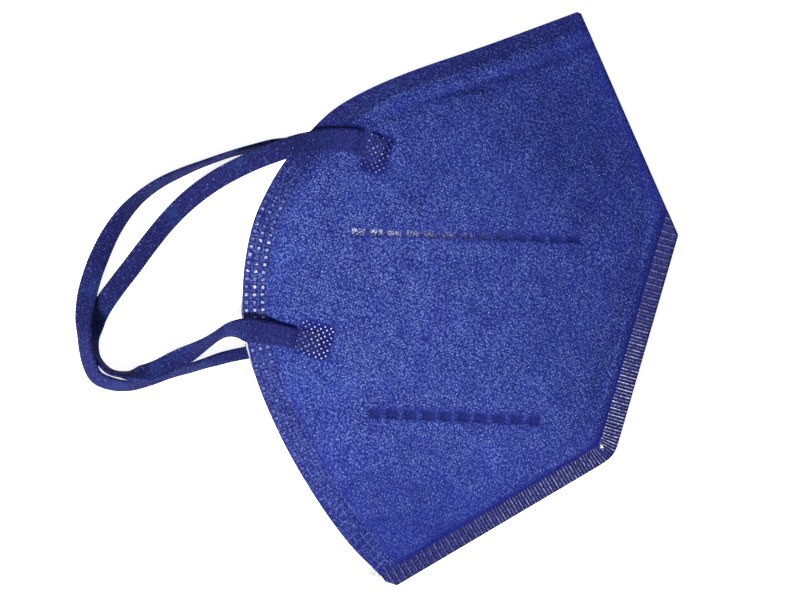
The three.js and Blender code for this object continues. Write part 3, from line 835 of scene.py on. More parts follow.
def cut_by_outline(starts, inward):
    """How far in each row of the weld begins, where the fold, the chin or the rim cut it off."""
    reach = 0.001
    ahead = starts + inward * reach
    fold_here = fold_distance(*starts.T)
    fold_rise = (fold_distance(*ahead.T) - fold_here) / reach
    by_fold = np.where(fold_here < 0, -fold_here / np.maximum(fold_rise, 0.1), 0)
    by_chin = np.maximum(-HALF_LENGTH - starts[:, 1], 0) / np.maximum(inward[:, 1], 0.3)
    low = starts[:, 1] < CHIN[1] + 0.004
    rim_here = rim_distance(*starts.T)
    rim_rise = (rim_distance(*(starts + inward * SEAM_WIDTH).T) - rim_here) / SEAM_WIDTH
    by_rim = np.where(low & (rim_here < 0), -rim_here / np.maximum(rim_rise, 0.05), 0)
    cut = np.maximum.reduce([by_fold - 0.00005, by_chin, by_rim])
    return np.clip(cut, 0, SEAM_WIDTH - 0.0003)


def rib_crests(run, shift):
    return box_mask(((run / RIB_PITCH + shift) % 1 - 0.5) * RIB_PITCH, RIB_HALF, 0.0004)


def rib_rise(run):
    """How far the ribs stand out along the weld."""
    dense = smooth(*DENSE_FROM, run) * (1 - 0.9 * smooth(*DENSE_TO, run))
    crests = np.maximum(rib_crests(run, 0.5), 0.6 * dense * rib_crests(run, 0))
    bold = 0.4 + 0.6 * smooth(0.030, 0.055, run) * (1 - 0.6 * smooth(0.060, 0.115, run))
    bold = bold * (1 - bell(run - CORNER_RUN, 0.0018))
    return RIB_RISE * crests * (0.3 + 0.7 * bold)


def add_front_weld():
    starts, inward, stretch, run = weld_rows()
    begin = cut_by_outline(starts, inward)[:, None]
    depth = begin + (SEAM_WIDTH + 0.0002 - begin) * WELD_COLUMNS[None]
    x = starts[:, :1] + inward[:, :1] * depth * stretch[:, None]
    y = starts[:, 1:] + inward[:, 1:] * depth * stretch[:, None]
    body = smooth(0.0, 0.0005, depth - begin) * (1 - smooth(0.0043, 0.0048, depth))
    half = WELD_EDGE_HALF + (SEAM_HALF - WELD_EDGE_HALF) * body
    rise = half + body * (rib_rise(run)[:, None] - WELD_SINK)
    top = np.stack([x, y, MID_HEIGHT + rise], axis=2)
    bottom = np.stack([x, y, MID_HEIGHT - rise], axis=2)
    ring = np.concatenate([top, bottom[:, ::-1]], axis=1)
    rows, count = ring.shape[:2]
    faces = closed_tube(rows, count)
    spread = np.concatenate([depth, depth[:, ::-1]], axis=1)
    uv = np.stack([np.repeat(run[:, None], count, axis=1), spread], axis=2).reshape(-1, 2)
    piece = add_mesh("front_weld", ring.reshape(-1, 3), faces, smooth_angle=60, uv=uv)
    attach(piece, BODY)
    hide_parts("outer_shell")
    return piece


front_weld = add_front_weld()

# -------------------- lining

LINING_GAP = 0.00012
CLIP_ROOM = 0.0011  # extra space between shell and lining beside the nose strip
LINING_HEM_FOLD = 0.0015
LINING_HEM_WELD = 0.0064
LINING_SHARE = 0.992  # of the shell's length from tip to tip
LINING_GRID = dict(rows=141, band=12, middle=44, flat_front=4, round_front=4)
LINING_CLEARANCE = 0.00025  # its near half stays this far above the height of the fold


def both_halves(near, far):
    """The near half from its rim to the front, and on over the front to the far half's rim."""
    return np.concatenate([near, far[:, ::-1]], axis=1)


def add_lining():
    front = front_line(LINING_HEM_FOLD, LINING_HEM_WELD)
    near_x, near_y, run = sheet_places(rim_x, front, **LINING_GRID)
    far_x, far_y, _ = sheet_places(far_rim_x, front, **LINING_GRID)
    near_y, far_y = near_y * LINING_SHARE, far_y * LINING_SHARE

    def below_shell(x, y, rim):
        clip = CLIP_ROOM * smooth(0.0015, 0.005, pocket_distance(x, y)) * smooth(0.032, 0.042, y)
        return wall_thickness(x, y, rim) + LINING_GAP + clip

    def lining_wall(x, y, rim):
        off_rim = smooth(*RIM_TO_FULL, rim_distance(x, y, rim))
        return RIM_LINING + (LINING_WALL - RIM_LINING) * off_rim

    def layer(depth):
        near_z = near_height(near_x, near_y) - below_shell(near_x, near_y, rim_x)
        far_z = far_height(far_x, far_y) + below_shell(far_x, far_y, far_rim_x)
        near_z = near_z - depth * lining_wall(near_x, near_y, rim_x)
        far_z = far_z + depth * lining_wall(far_x, far_y, far_rim_x)
        near_z = np.maximum(near_z, MID_HEIGHT + LINING_CLEARANCE - 0.0002 * depth)
        near = np.stack([near_x, near_y, near_z], axis=2)
        return both_halves(near, np.stack([far_x, far_y, far_z], axis=2))

    outer, inner = layer(0), layer(1)
    inset = both_halves(rim_distance(near_x, near_y), rim_distance(far_x, far_y, far_rim_x))
    uv = np.stack([both_halves(run, run), inset], axis=2)
    piece = closed_sheet(
        "lining_sheet", outer, inner, 1, True, smooth_angle=50, uv=uv, loft=np.ones(inset.shape),
    )
    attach(piece, BODY)
    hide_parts("inner_lining")
    return piece


lining = add_lining()

# -------------------- weld pins of the pads

PIN_STEP = 0.00082  # between the columns of pins, each half a pitch off the last
PIN_STRAY = 0.00010  # and how far a pin lies off its place
PIN_RADIUS = 0.00025
PIN_HEIGHT = 0.00022
PIN_SIDES = 8
PIN_RINGS = [(1.0, -0.4), (0.92, 0.35), (0.55, 0.85)]  # radius and height, in shares
# How much paler the pins are: at random, off the band, at the chin and further inside there,
# and in the middle of the nose pad
RANDOM_WHITE, OFF_BAND_WHITE, CHIN_WHITE, INSIDE_WHITE, MIDDLE_WHITE = 0.55, 0.15, 0.15, 0.40, 0.25


def pin_places(pad):
    """A field of pins, the columns and rows staggered."""
    pad_x, pad_y, half_x, half_y = pad
    columns, rows = round(2 * half_x / PIN_STEP), round(2 * half_y / PIN_STEP)
    steps = [(i, j) for i in range(columns + 1) for j in range(rows + 1) if (i + j) % 2]
    return np.array(steps) * PIN_STEP + (pad_x - half_x, pad_y - half_y)


def add_pins(name, pads, shape, face, facing):
    """Small molten domes that hold a band's ends, on the band and on the shell beside it."""
    centre, _, _, half, _, flattened, _, _ = shape
    places = np.concatenate([pin_places(pad) for pad in pads])
    places = places + np.random.RandomState(7).uniform(-PIN_STRAY, PIN_STRAY, places.shape)
    away = np.linalg.norm(places[:, None] - centre[None, :, :2], axis=2)
    nearest = away.argmin(axis=1)
    on_band = away[np.arange(len(places)), nearest] < half[nearest] - PIN_RADIUS / 2
    band_face = centre[nearest, 2] + facing * BAND_THICKNESS / 2 * (1 - flattened[nearest])
    base = np.where(on_band, band_face, face(places[:, 0], places[:, 1]))
    turns = np.arange(PIN_SIDES) * 2 * math.pi / PIN_SIDES
    ring = np.stack([np.cos(turns), np.sin(turns)], axis=1)
    whitened = np.random.RandomState(3).uniform(0.0, RANDOM_WHITE, len(places))
    whitened = whitened + OFF_BAND_WHITE * ~on_band
    chin = CHIN_WHITE + INSIDE_WHITE * smooth(-0.034, -0.028, places[:, 0])
    whitened = whitened + chin * (places[:, 1] < 0)
    middle = np.hypot(places[:, 0] - pads[0][0], places[:, 1] - pads[0][1])
    whitened = whitened + MIDDLE_WHITE * (1 - smooth(0.0015, 0.0045, middle))
    points, faces = [], []
    for place, z in zip(places, base):
        first = len(points)
        for radius, rise in PIN_RINGS:
            xy = place + ring * PIN_RADIUS * radius
            points += [(px, py, z + facing * PIN_HEIGHT * rise) for px, py in xy]
        points.append((place[0], place[1], z + facing * PIN_HEIGHT))
        dome = ring_faces(len(PIN_RINGS), PIN_SIDES, first)
        top = first + 2 * PIN_SIDES
        dome += [(top + k, top + (k + 1) % PIN_SIDES, top + PIN_SIDES) for k in range(PIN_SIDES)]
        dome.append(tuple(first + k for k in range(PIN_SIDES))[::-1])
        faces += dome if facing > 0 else [side[::-1] for side in dome]
    loft = np.repeat(whitened, len(points) // len(places))
    piece = add_mesh(name, np.array(points), faces, smooth_angle=60, loft=loft)
    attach(piece, BODY)
    return piece


def near_face(x, y):
    return near_height(x, y) + near_marks(x, y)


def far_face(x, y):
    return far_height(x, y) - far_marks(x, y)


near_pins = add_pins("near_pad_pins", NEAR_PADS, near_shape, near_face, facing=1)
far_pins = add_pins("far_pad_pins", FAR_PADS, far_shape, far_face, facing=-1)

# -------------------- patterns

MILLIMETRES = 1000.0  # the noises are laid out in millimetres
SPOT_ROWS = 1.87  # two rows of bonded spots take this many pitches
SPOT_TURN, SPOT_SHAPE = 50, (1.0, 0.66, 1.0)  # the spots are ovals that lie across the lattice
WEB_TURN = 4  # the lattice's turn on the mask, degrees
CURL_TURN, CURL_SHAPE = -35, (0.75, 0.55, 1.0)  # of the curly fibres
WALE_WIDTH = 0.00095  # one column of stitches
WALE_SLANT = 1.1  # how far the stitches climb towards its sides


class Nodes:
    """Adds nodes to a tree, one call for each, and gives back what they put out."""

    def __init__(self, tree):
        self.tree = tree

    def feed(self, socket, value):
        """Links an output to the socket, or sets a constant on it."""
        if isinstance(value, bpy.types.NodeSocket):
            self.tree.links.new(value, socket)
        else:
            socket.default_value = value

    def add(self, kind, inputs=None, **settings):
        node = self.tree.nodes.new(kind)
        for name, value in settings.items():
            setattr(node, name, value)
        for place, value in (inputs or {}).items():
            self.feed(node.inputs[place], value)
        return node

    def math(self, operation, *values):
        return self.add("ShaderNodeMath", dict(enumerate(values)), operation=operation).outputs[0]

    def plus(self, value, other):
        return self.math("ADD", value, other)

    def minus(self, value, other):
        return self.math("SUBTRACT", value, other)

    def times(self, value, *others):
        for other in others:
            value = self.math("MULTIPLY", value, other)
        return value

    def over(self, value, other):
        return self.math("DIVIDE", value, other)

    def most(self, value, other):
        return self.math("MAXIMUM", value, other)

    def size(self, value):
        return self.math("ABSOLUTE", value)

    def centred(self, value):
        """From -0.5 to 0.5 in every whole step of the value."""
        return self.minus(self.math("FRACT", value), 0.5)

    def whole(self, value, last=None):
        """The nearest whole number, from 0 to the last one if that is given."""
        value = self.math("ROUND", value)
        return value if last is None else self.math("MINIMUM", self.most(value, 0.0), last)

    def vector(self, operation, *values):
        node = self.add("ShaderNodeVectorMath", dict(enumerate(values)), operation=operation)
        return node.outputs["Value" if operation in ("LENGTH", "DOT_PRODUCT") else "Vector"]

    def scaled(self, vector, scale):
        inputs = {"Vector": vector, "Scale": scale}
        return self.add("ShaderNodeVectorMath", inputs, operation="SCALE").outputs["Vector"]

    def turned(self, vector, degrees, size=(1, 1, 1)):
        """The vector measured along turned axes, in steps of the given size."""
        inputs = {"Vector": vector, "Rotation": (0, 0, math.radians(degrees)), "Scale": size}
        return self.add("ShaderNodeMapping", inputs, vector_type="TEXTURE").outputs["Vector"]

    def step(self, value, start, end, low=0.0, high=1.0):
        inputs = {"Value": value, "From Min": start, "From Max": end, "To Min": low, "To Max": high}
        node = self.add("ShaderNodeMapRange", inputs, interpolation_type="SMOOTHSTEP")
        return node.outputs["Result"]

    def noise(self, vector, scale, detail=2.0, roughness=0.5, distortion=0.0):
        inputs = {"Vector": vector, "Scale": scale, "Detail": detail,
                  "Roughness": roughness, "Distortion": distortion}
        return self.add("ShaderNodeTexNoise", inputs).outputs["Fac"]

    def patches(self, vector, scale, start, end, low=0.0, high=1.0, **kind):
        """Noise whose levels from start to end are drawn out to low and high."""
        return self.step(self.noise(vector, scale, **kind), start, end, low, high)

    def cells(self, vector, scale):
        inputs = {"Vector": vector, "Scale": scale}
        return self.add("ShaderNodeTexVoronoi", inputs, voronoi_dimensions="2D").outputs

    def wandering(self, vector, scale, reach):
        """The vector pushed about by a noise."""
        push = self.add("ShaderNodeTexNoise", {"Vector": vector, "Scale": scale}).outputs["Color"]
        push = self.vector("SUBTRACT", push, (0.5, 0.5, 0.5))
        return self.vector("ADD", vector, self.scaled(push, reach))

    def split(self, vector):
        return self.add("ShaderNodeSeparateXYZ", {0: vector}).outputs

    def mix(self, share, first, second):
        inputs = {0: share, 6: first, 7: second}
        return self.add("ShaderNodeMix", inputs, data_type="RGBA").outputs[2]

    def box(self, offset, half, softness):
        return self.step(self.size(offset), half - softness / 2, half + softness / 2, 1.0, 0.0)

    def group(self, group, inputs):
        return self.add("ShaderNodeGroup", inputs, node_tree=group).outputs


def pattern_group(name, inputs, outputs):
    """An empty shader node group with named sockets, its maker, its input and its output node."""
    tree = bpy.data.node_groups.new(name, "ShaderNodeTree")
    for socket, kind in inputs.items():
        tree.interface.new_socket(socket, in_out="INPUT", socket_type=kind)
    for socket in outputs:
        tree.interface.new_socket(socket, in_out="OUTPUT", socket_type="NodeSocketFloat")
    nodes = Nodes(tree)
    return tree, nodes, nodes.add("NodeGroupInput").outputs, nodes.add("NodeGroupOutput").inputs


def make_nonwoven():
    """Spunbonded web: staggered bonded spots, curly fibres that catch the light, cloudy density."""
    inputs = {"Place": "NodeSocketVector", "Per Metre": "NodeSocketFloat"}
    outputs = ("Fleck", "Spot", "Ring", "Cloud", "Height")
    tree, n, given, result = pattern_group("nonwoven", inputs, outputs)
    place = n.turned(n.scaled(given["Place"], given["Per Metre"]), WEB_TURN)
    lattice = n.wandering(place, 0.9, 0.5)
    away = []
    for shift in ((0.0, 0.0, 0.0), (0.5, 0.5, 0.0)):
        cell = n.vector("MULTIPLY", lattice, (1.0, 1 / SPOT_ROWS, 0.0))
        cell = n.vector("FRACTION", n.vector("ADD", cell, shift))
        cell = n.vector("SUBTRACT", cell, (0.5, 0.5, 0.0))
        cell = n.turned(n.vector("MULTIPLY", cell, (1.0, SPOT_ROWS, 0.0)), SPOT_TURN, SPOT_SHAPE)
        away.append(n.vector("LENGTH", cell))
    nearest = n.math("MINIMUM", *away)
    order = n.patches(place, 0.11, 0.38, 0.60, 0.10, 1.0)
    lone = n.patches(place, 1.4, 0.38, 0.62, 0.05, 1.0, detail=1.0)
    spot = n.times(n.step(nearest, 0.06, 0.26, 0.80, 0.0), n.times(order, lone))
    ring = n.times(n.step(nearest, 0.22, 0.30), n.step(nearest, 0.32, 0.46, 1.0, 0.0), order)
    gaps = n.patches(place, 2.3, 0.36, 0.49, 0.70, 0.0, detail=1.0)

    curled = n.turned(n.wandering(place, 1.9, 0.9), CURL_TURN, CURL_SHAPE)
    bead = n.cells(curled, 1.0)
    bright = n.step(n.split(bead["Color"])[0], 0.0, 0.9, 0.22, 1.0)
    curls = n.times(n.step(bead["Distance"], 0.12, 0.44, 1.0, 0.0), bright)
    uneven = n.patches(place, 2.6, 0.36, 0.64, 0.35, 1.0, detail=1.0)
    thickness = n.patches(place, 0.30, 0.34, 0.64, 0.55, 1.0)
    glints = n.patches(place, 3.6, 0.62, 0.72)
    density = n.patches(curled, 2.1, 0.40, 0.62, 0.10, 1.42, detail=1.5, distortion=0.4)
    mesh = n.times(density, n.step(n.cells(place, 2.1)["Distance"], 0.12, 0.54, 1.12, 0.02))
    fleck = n.most(mesh, n.times(curls, uneven))
    fleck = n.most(n.times(fleck, thickness), glints)
    fleck = n.times(fleck, n.minus(1.0, n.times(ring, 0.8)))

    n.feed(result["Fleck"], fleck)
    n.feed(result["Spot"], spot)
    n.feed(result["Ring"], n.most(ring, gaps))
    n.feed(result["Cloud"], n.noise(place, 0.075, detail=3.0, roughness=0.55))
    height = n.plus(n.times(ring, -0.6), n.times(fleck, 0.7))
    n.feed(result["Height"], n.plus(height, n.times(spot, 0.3)))
    return tree


def make_knit():
    """Flat knitted band: columns of V stitches along it. The place is run and offset, metres."""
    inputs = {"Place": "NodeSocketVector"}
    tree, n, given, result = pattern_group("knit", inputs, ("Loop", "Height"))
    run, offset, _ = n.split(given["Place"])
    column = n.size(n.centred(n.over(offset, WALE_WIDTH)))
    course = n.plus(n.over(run, STITCH_PITCH), n.times(column, WALE_SLANT))
    stitch = n.step(n.size(n.centred(course)), 0.12, 0.46, 1.0, 0.0)
    loop = n.times(stitch, n.step(column, 0.30, 0.50, 1.0, 0.25))
    fuzz = n.noise(n.scaled(given["Place"], MILLIMETRES), 3.0)
    n.feed(result["Loop"], loop)
    n.feed(result["Height"], n.plus(loop, n.times(fuzz, 0.5)))
    return tree


NONWOVEN = make_nonwoven()
KNIT = make_knit()

# -------------------- materials

# the web on the halves
DEEP_BLUE = (0.0076, 0.0112, 0.146, 1)
BLUE = (0.0100, 0.0260, 0.206, 1)
PALE_BLUE = (0.135, 0.195, 0.550, 1)
BRIGHT_BLUE = (0.30, 0.36, 0.70, 1)
# its pressed rim, dots and dashes
RIM_BLUE = (0.0090, 0.0105, 0.108, 1)
DOT_BLUE = (0.100, 0.127, 0.42, 1)
DOT_PALE = (0.49, 0.53, 0.76, 1)
DASH_DARK = (0.0085, 0.0120, 0.105, 1)
DASH_PALE = (0.46, 0.50, 0.68, 1)
# the front weld
WELD_DARK = (0.0085, 0.0080, 0.068, 1)
WELD_MID = (0.0130, 0.0132, 0.104, 1)
WELD_CLOUD = (0.11, 0.12, 0.42, 1)
CREST_PALE_AND_HIGHLIGHT = (0.72, 0.75, 0.92, 1)
RIB_SHADOW_DARK = (0.0055, 0.0052, 0.046, 1)
CUT_EDGE_DARK = (0.0045, 0.0040, 0.030, 1)
CORNER_SPOT_WHITE = (0.7, 0.72, 0.76, 1)
# the bands and the pads at their ends
NAVY = (0.0045, 0.0055, 0.050, 1)
NAVY_PALE = (0.0150, 0.0180, 0.116, 1)
NAVY_TINT = (0.013, 0.037, 0.160, 1)
PAD_AND_SHADOW_DARK = (0.0115, 0.0145, 0.098, 1)
PAD_NAVY = (0.013, 0.016, 0.120, 1)
PAD_WORN = (0.030, 0.038, 0.215, 1)
PIN_DARK = (0.020, 0.024, 0.10, 1)
PIN_MID = (0.14, 0.17, 0.42, 1)
PIN_PALE = (0.62, 0.65, 0.72, 1)
# and what isn't blue
LINING_SHADES = [
    (0.50, 0.51, 0.51, 1), (0.59, 0.60, 0.59, 1), (0.70, 0.70, 0.69, 1), (0.76, 0.76, 0.75, 1),
]
ALUMINIUM_DARK, ALUMINIUM_PALE = (0.60, 0.61, 0.62, 1), (0.76, 0.77, 0.78, 1)
STRIP_TURN, BRUSH_SHAPE = 39, (6.0, 0.15, 1.0)  # it is brushed lengthwise
PAPER_DARK, PAPER_PALE = (0.90, 0.90, 0.90, 1), (0.92, 0.92, 0.92, 1)
PAPER_GLOW = 0.8

DULL = 0.12  # specular level of the cloth
# pitch of the bonded spots
SHELL_PITCH = 0.0015
WELD_PITCH = 0.0011
LINING_PITCH = 0.0013


def new_material(name):
    material = bpy.data.materials.new(name)
    material.use_nodes = True
    material.node_tree.nodes.clear()
    n = Nodes(material.node_tree)
    shader = n.add("ShaderNodeBsdfPrincipled")
    n.feed(n.add("ShaderNodeOutputMaterial").inputs[0], shader.outputs[0])
    return material, n, shader


def set_surface(n, shader, colour, roughness, height, distance, strength=1.0):
    bump = n.add("ShaderNodeBump", {"Strength": strength, "Distance": distance, "Height": height})
    n.feed(shader.inputs["Base Color"], colour)
    n.feed(shader.inputs["Roughness"], roughness)
    n.feed(shader.inputs["Normal"], bump.outputs[0])
    n.feed(shader.inputs["Specular IOR Level"], DULL)


def object_place(n):
    """The place on the piece, in metres and in millimetres."""
    place = n.add("ShaderNodeTexCoord").outputs["Object"]
    return place, n.scaled(place, MILLIMETRES)


def pattern_place(n):
    return n.add("ShaderNodeUVMap", uv_map="pattern").outputs[0]


def loft_of(n):
    return n.add("ShaderNodeAttribute", attribute_name="loft").outputs["Fac"]


def web_colour(n, web, loft, deep, mid, pale, bright):
    cloud = n.times(n.step(web["Cloud"], 0.30, 0.70, 0.15, 0.85), loft)
    colour = n.mix(cloud, deep, mid)
    colour = n.mix(n.times(web["Ring"], n.times(loft, 0.8)), colour, deep)
    colour = n.mix(n.times(web["Fleck"], loft), colour, pale)
    return n.mix(n.times(web["Spot"], n.times(loft, loft)), colour, bright)


LINE_HALF = 0.00008  # of the thin lines between the dots
OUTLINE_HALF = 0.00006
DOT_CORNER = 0.60  # 0.5 would leave the dots square, 1 would make them diamonds


def rim_dots(n, place):
    """The rows of square dots along the rim, and thin lines between them, from run and inset."""
    stirred = n.wandering(n.scaled(place, MILLIMETRES), 0.5, 0.35)
    run, inset, _ = n.split(n.scaled(stirred, 1 / MILLIMETRES))
    along = n.size(n.times(n.centred(n.plus(n.over(run, DOT_PITCH), 0.5)), DOT_PITCH))
    row = n.whole(n.over(n.minus(inset, DOT_FIRST), DOT_ROW_PITCH), 2.0)
    across = n.size(n.minus(inset, n.plus(DOT_FIRST, n.times(row, DOT_ROW_PITCH))))
    away = n.most(n.most(along, across), n.times(n.plus(along, across), DOT_CORNER))
    dots = n.step(away, DOT_HALF - 0.00030, DOT_HALF + 0.00005, 1.0, 0.0)
    beside = n.minus(along, DOT_PITCH / 2)
    below = n.minus(across, DOT_ROW_PITCH / 2)
    lines = n.most(n.box(beside, LINE_HALF, 0.0002), n.box(below, LINE_HALF, 0.0002))
    which = n.add("ShaderNodeCombineXYZ", {0: n.whole(n.over(run, DOT_PITCH)), 1: row}).outputs[0]
    chance = n.add("ShaderNodeTexWhiteNoise", {"Vector": which}).outputs["Value"]
    outline = n.box(n.minus(away, DOT_HALF + 0.00014), OUTLINE_HALF, 0.00016)
    return dots, outline, lines, chance, run, inset


def rim_colour(n, grain, fleck, pressed_and_shaded, colour):
    """The pressed web along the rim. Its dots are pale in the middle and fade towards its ends."""
    dots, outline, lines, chance, run, inset = rim_dots(n, pattern_place(n))
    middle = n.times(n.step(run, 0.066, 0.084, 0.42, 1.0), n.step(run, 0.104, 0.124, 1.0, 0.0),
                     n.step(run, 0.020, 0.050))
    border = n.plus(inset, n.step(run, 0.145, 0.160, 0.0, NOSE_NARROWING))
    pressed = n.step(border, 0.0058, 0.0068, 1.0, 0.0)
    flecks = n.times(n.step(fleck, 0.1, 1.0, 0.0, 0.50), n.step(run, 0.120, 0.150, 1.0, 0.55))
    base = n.mix(flecks, RIM_BLUE, PALE_BLUE)
    colour = n.mix(n.times(pressed, n.step(run, 0.030, 0.055, 0.5, 0.8)), colour, base)

    thin = n.patches(grain, 0.9, 0.40, 0.58, 0.0, 0.5, detail=3.0)
    thin = n.times(thin, n.step(run, 0.104, 0.140, 1.0, 0.15))
    colour = n.mix(n.times(lines, pressed, thin), colour, PALE_BLUE)
    dark = n.times(n.step(middle, 0.0, 1.0, 0.2, 0.7), n.step(run, 0.135, 0.155, 1.0, 0.0))
    colour = n.mix(n.times(dots, dark), colour, WELD_DARK)
    outline = n.times(outline, pressed, n.step(run, 0.125, 0.145, 0.6, 0.0))
    colour = n.mix(outline, colour, WELD_DARK)

    worn = n.patches(grain, 2.0, 0.32, 0.56, 0.20, 1.0, detail=3.0)
    worn = n.times(worn, n.step(chance, 0.0, 0.7, 0.50, 1.0))
    # the pale dots are dimmed on the pads and in the near band's painted shadow
    bright = n.times(dots, middle, n.times(worn, n.step(pressed_and_shaded, 0.1, 0.6, 1.0, 0.1)))
    colour = n.mix(n.step(bright, 0.0, 0.45), colour, DOT_BLUE)
    return n.mix(n.step(bright, 0.35, 1.0), colour, DOT_PALE)


def dash_pattern(n, place, row):
    start, end = np.array(row["start"]), np.array(row["end"])
    length = float(np.linalg.norm(end - start))
    turn = math.atan2(end[1] - start[1], end[0] - start[0])
    pitch = (length - row["length"]) / (row["count"] - 1)
    moved = n.vector("SUBTRACT", place, (start[0], start[1], 0.0))
    along, across, _ = n.split(n.turned(moved, math.degrees(turn)))
    along = n.minus(along, row["length"] / 2)
    number = n.whole(n.over(along, pitch), float(row["count"] - 1))
    offset = n.minus(along, n.times(number, pitch))
    inside = n.box(offset, row["length"] / 2, 0.0005)
    return n.times(inside, n.box(across, row["width"] / 2, 0.0005))


def dash_wear(n, place, row):
    """How pale the pressed dashes are: most at the row's first ones, fading along it."""
    start, end = row["start"][0], row["end"][0]
    along = n.split(place)[0]
    fading = n.step(along, start + 0.008, start + 0.014, row["pale"], 0.55 * row["pale"])
    return n.times(fading, n.step(along, start, start + (end - start) * row["worn"], 1.0, 0.0))


def shell_material(name, dashes):
    material, n, shader = new_material(name)
    place, grain = object_place(n)
    web = n.group(NONWOVEN, {"Place": place, "Per Metre": 1 / SHELL_PITCH})
    loft = loft_of(n)
    # loft below 0 is where the pads are pressed and where the near band's shadow is painted; both
    # are coloured dark
    pressed_and_shaded = n.times(loft, -1.0)
    colour = web_colour(n, web, n.most(loft, 0.0), DEEP_BLUE, BLUE, PALE_BLUE, BRIGHT_BLUE)
    colour = n.mix(n.step(pressed_and_shaded, 0.1, 0.9, 0.0, 0.85), colour, PAD_AND_SHADOW_DARK)
    colour = rim_colour(n, grain, web["Fleck"], pressed_and_shaded, colour)
    height = web["Height"]
    for row in dashes:
        dash = dash_pattern(n, place, row)
        specks = n.patches(grain, 2.4, 0.46, 0.60, detail=3.0)
        colour = n.mix(n.times(dash, 0.85), colour, DASH_DARK)
        colour = n.mix(n.times(dash, specks, dash_wear(n, place, row)), colour, DASH_PALE)
        height = n.times(height, n.step(dash, 0.0, 1.0, 1.0, 0.3))
    roughness = n.step(web["Fleck"], 0.0, 1.0, 0.9, 0.6)
    set_surface(n, shader, colour, roughness, height, 0.00022, strength=0.9)
    return material


def weld_ribs(n, phase):
    """Pale crests, and a painted shadow line on one side of each."""
    ridge = n.times(n.centred(phase), RIB_PITCH)
    rib_shadow = n.box(n.plus(ridge, 0.00038), 0.00012, 0.00018)
    return n.box(ridge, 0.5 * RIB_HALF, 0.00014), rib_shadow


def weld_material():
    material, n, shader = new_material("front_weld_blue")
    place, grain = object_place(n)
    web = n.group(NONWOVEN, {"Place": place, "Per Metre": 1 / WELD_PITCH})
    run, inset, _ = n.split(pattern_place(n))
    phase = n.plus(n.over(run, RIB_PITCH), 0.5)
    dense = n.times(n.step(run, *DENSE_FROM), n.step(run, *DENSE_TO, 1.0, 0.1))
    ridge, rib_shadow = weld_ribs(n, phase)
    between, between_rib_shadow = weld_ribs(n, n.plus(phase, 0.5))
    ridge = n.most(ridge, n.times(between, n.times(dense, 0.45)))
    rib_shadow = n.most(rib_shadow, n.times(between_rib_shadow, dense))
    corner = n.box(n.minus(run, CORNER_RUN), 0.0015, 0.002)
    bold = n.times(n.step(run, 0.022, 0.055, 0.22, 1.0), n.step(run, 0.060, 0.072, 1.0, 0.45),
                   n.step(run, 0.085, 0.115, 1.0, 0.40), n.minus(1.0, corner))
    worn = n.times(n.patches(grain, 1.7, 0.40, 0.58, 0.12, 1.0, detail=3.0), bold)
    spot_away = n.vector("LENGTH", n.vector("SUBTRACT", place, CORNER_SPOT_MIDDLE))
    spot_away = n.plus(spot_away, n.patches(grain, 1.5, 0.3, 0.7, -0.0005, 0.0005))
    mottle = n.noise(grain, 2.4)

    colour = n.mix(n.step(mottle, 0.38, 0.56), WELD_DARK, WELD_MID)
    colour = n.mix(n.step(mottle, 0.58, 0.70, 0.0, 0.50), colour, WELD_CLOUD)
    colour = n.mix(n.times(web["Fleck"], 0.18), colour, PALE_BLUE)
    # painted shadow on one side of each crest
    colour = n.mix(n.times(rib_shadow, n.step(bold, 0.1, 0.9, 0.30, 0.90)), colour, RIB_SHADOW_DARK)
    colour = n.mix(n.step(inset, 0.0001, 0.0006, 1.0, 0.0), colour, CUT_EDGE_DARK)
    # the crests' own paler colour, with a painted highlight that grows where the ribs are bold
    colour = n.mix(n.times(ridge, worn), colour, CREST_PALE_AND_HIGHLIGHT)
    # a white spot painted in the weld's corner
    colour = n.mix(n.step(spot_away, 0.00035, 0.0006, 1.0, 0.0), colour, CORNER_SPOT_WHITE)
    roughness = n.step(worn, 0.0, 1.0, 0.8, 0.5)
    set_surface(n, shader, colour, roughness, web["Height"], 0.00010, strength=0.8)
    return material


def lining_material():
    material, n, shader = new_material("lining_white")
    web = n.group(NONWOVEN, {"Place": object_place(n)[0], "Per Metre": 1 / LINING_PITCH})
    colour = web_colour(n, web, loft_of(n), *LINING_SHADES)
    roughness = n.step(web["Spot"], 0.0, 1.0, 0.9, 0.6)
    set_surface(n, shader, colour, roughness, web["Height"], 0.00012)
    return material


def band_material():
    material, n, shader = new_material("navy_elastic")
    place = pattern_place(n)
    grain = n.scaled(place, MILLIMETRES)
    knit = n.group(KNIT, {"Place": place})
    fuzz = n.noise(grain, 1.4, detail=3.0, roughness=0.65)
    colour = n.mix(n.times(knit["Loop"], 0.25), NAVY, NAVY_PALE)
    colour = n.mix(n.step(fuzz, 0.40, 0.64), colour, NAVY_PALE)
    specks = n.patches(grain, 1.1, 0.58, 0.70, detail=3.0, roughness=0.7)
    colour = n.mix(n.times(specks, 0.5), colour, PALE_BLUE)
    tint = n.patches(grain, 0.09, 0.50, 0.64, 0.0, 0.50)
    colour = n.mix(n.times(tint, n.step(fuzz, 0.36, 0.56)), colour, NAVY_TINT)
    worn = n.mix(n.step(fuzz, 0.40, 0.60), PAD_NAVY, PAD_WORN)
    colour = n.mix(n.times(loft_of(n), 0.85), colour, n.mix(specks, worn, BLUE))
    roughness = n.step(knit["Loop"], 0.0, 1.0, 0.95, 0.8)
    set_surface(n, shader, colour, roughness, knit["Height"], 0.00010)
    return material


def pin_material():
    material, n, shader = new_material("molten_pin")
    _, grain = object_place(n)
    haze = n.plus(loft_of(n), n.patches(grain, 2.2, 0.3, 0.7, -0.25, 0.25))
    colour = n.mix(n.step(haze, 0.1, 0.5), PIN_DARK, PIN_MID)
    colour = n.mix(n.step(haze, 0.4, 1.0), colour, PIN_PALE)
    roughness = n.step(haze, 0.0, 1.0, 0.35, 0.55)
    set_surface(n, shader, colour, roughness, n.noise(grain, 6.0), 0.00003)
    return material


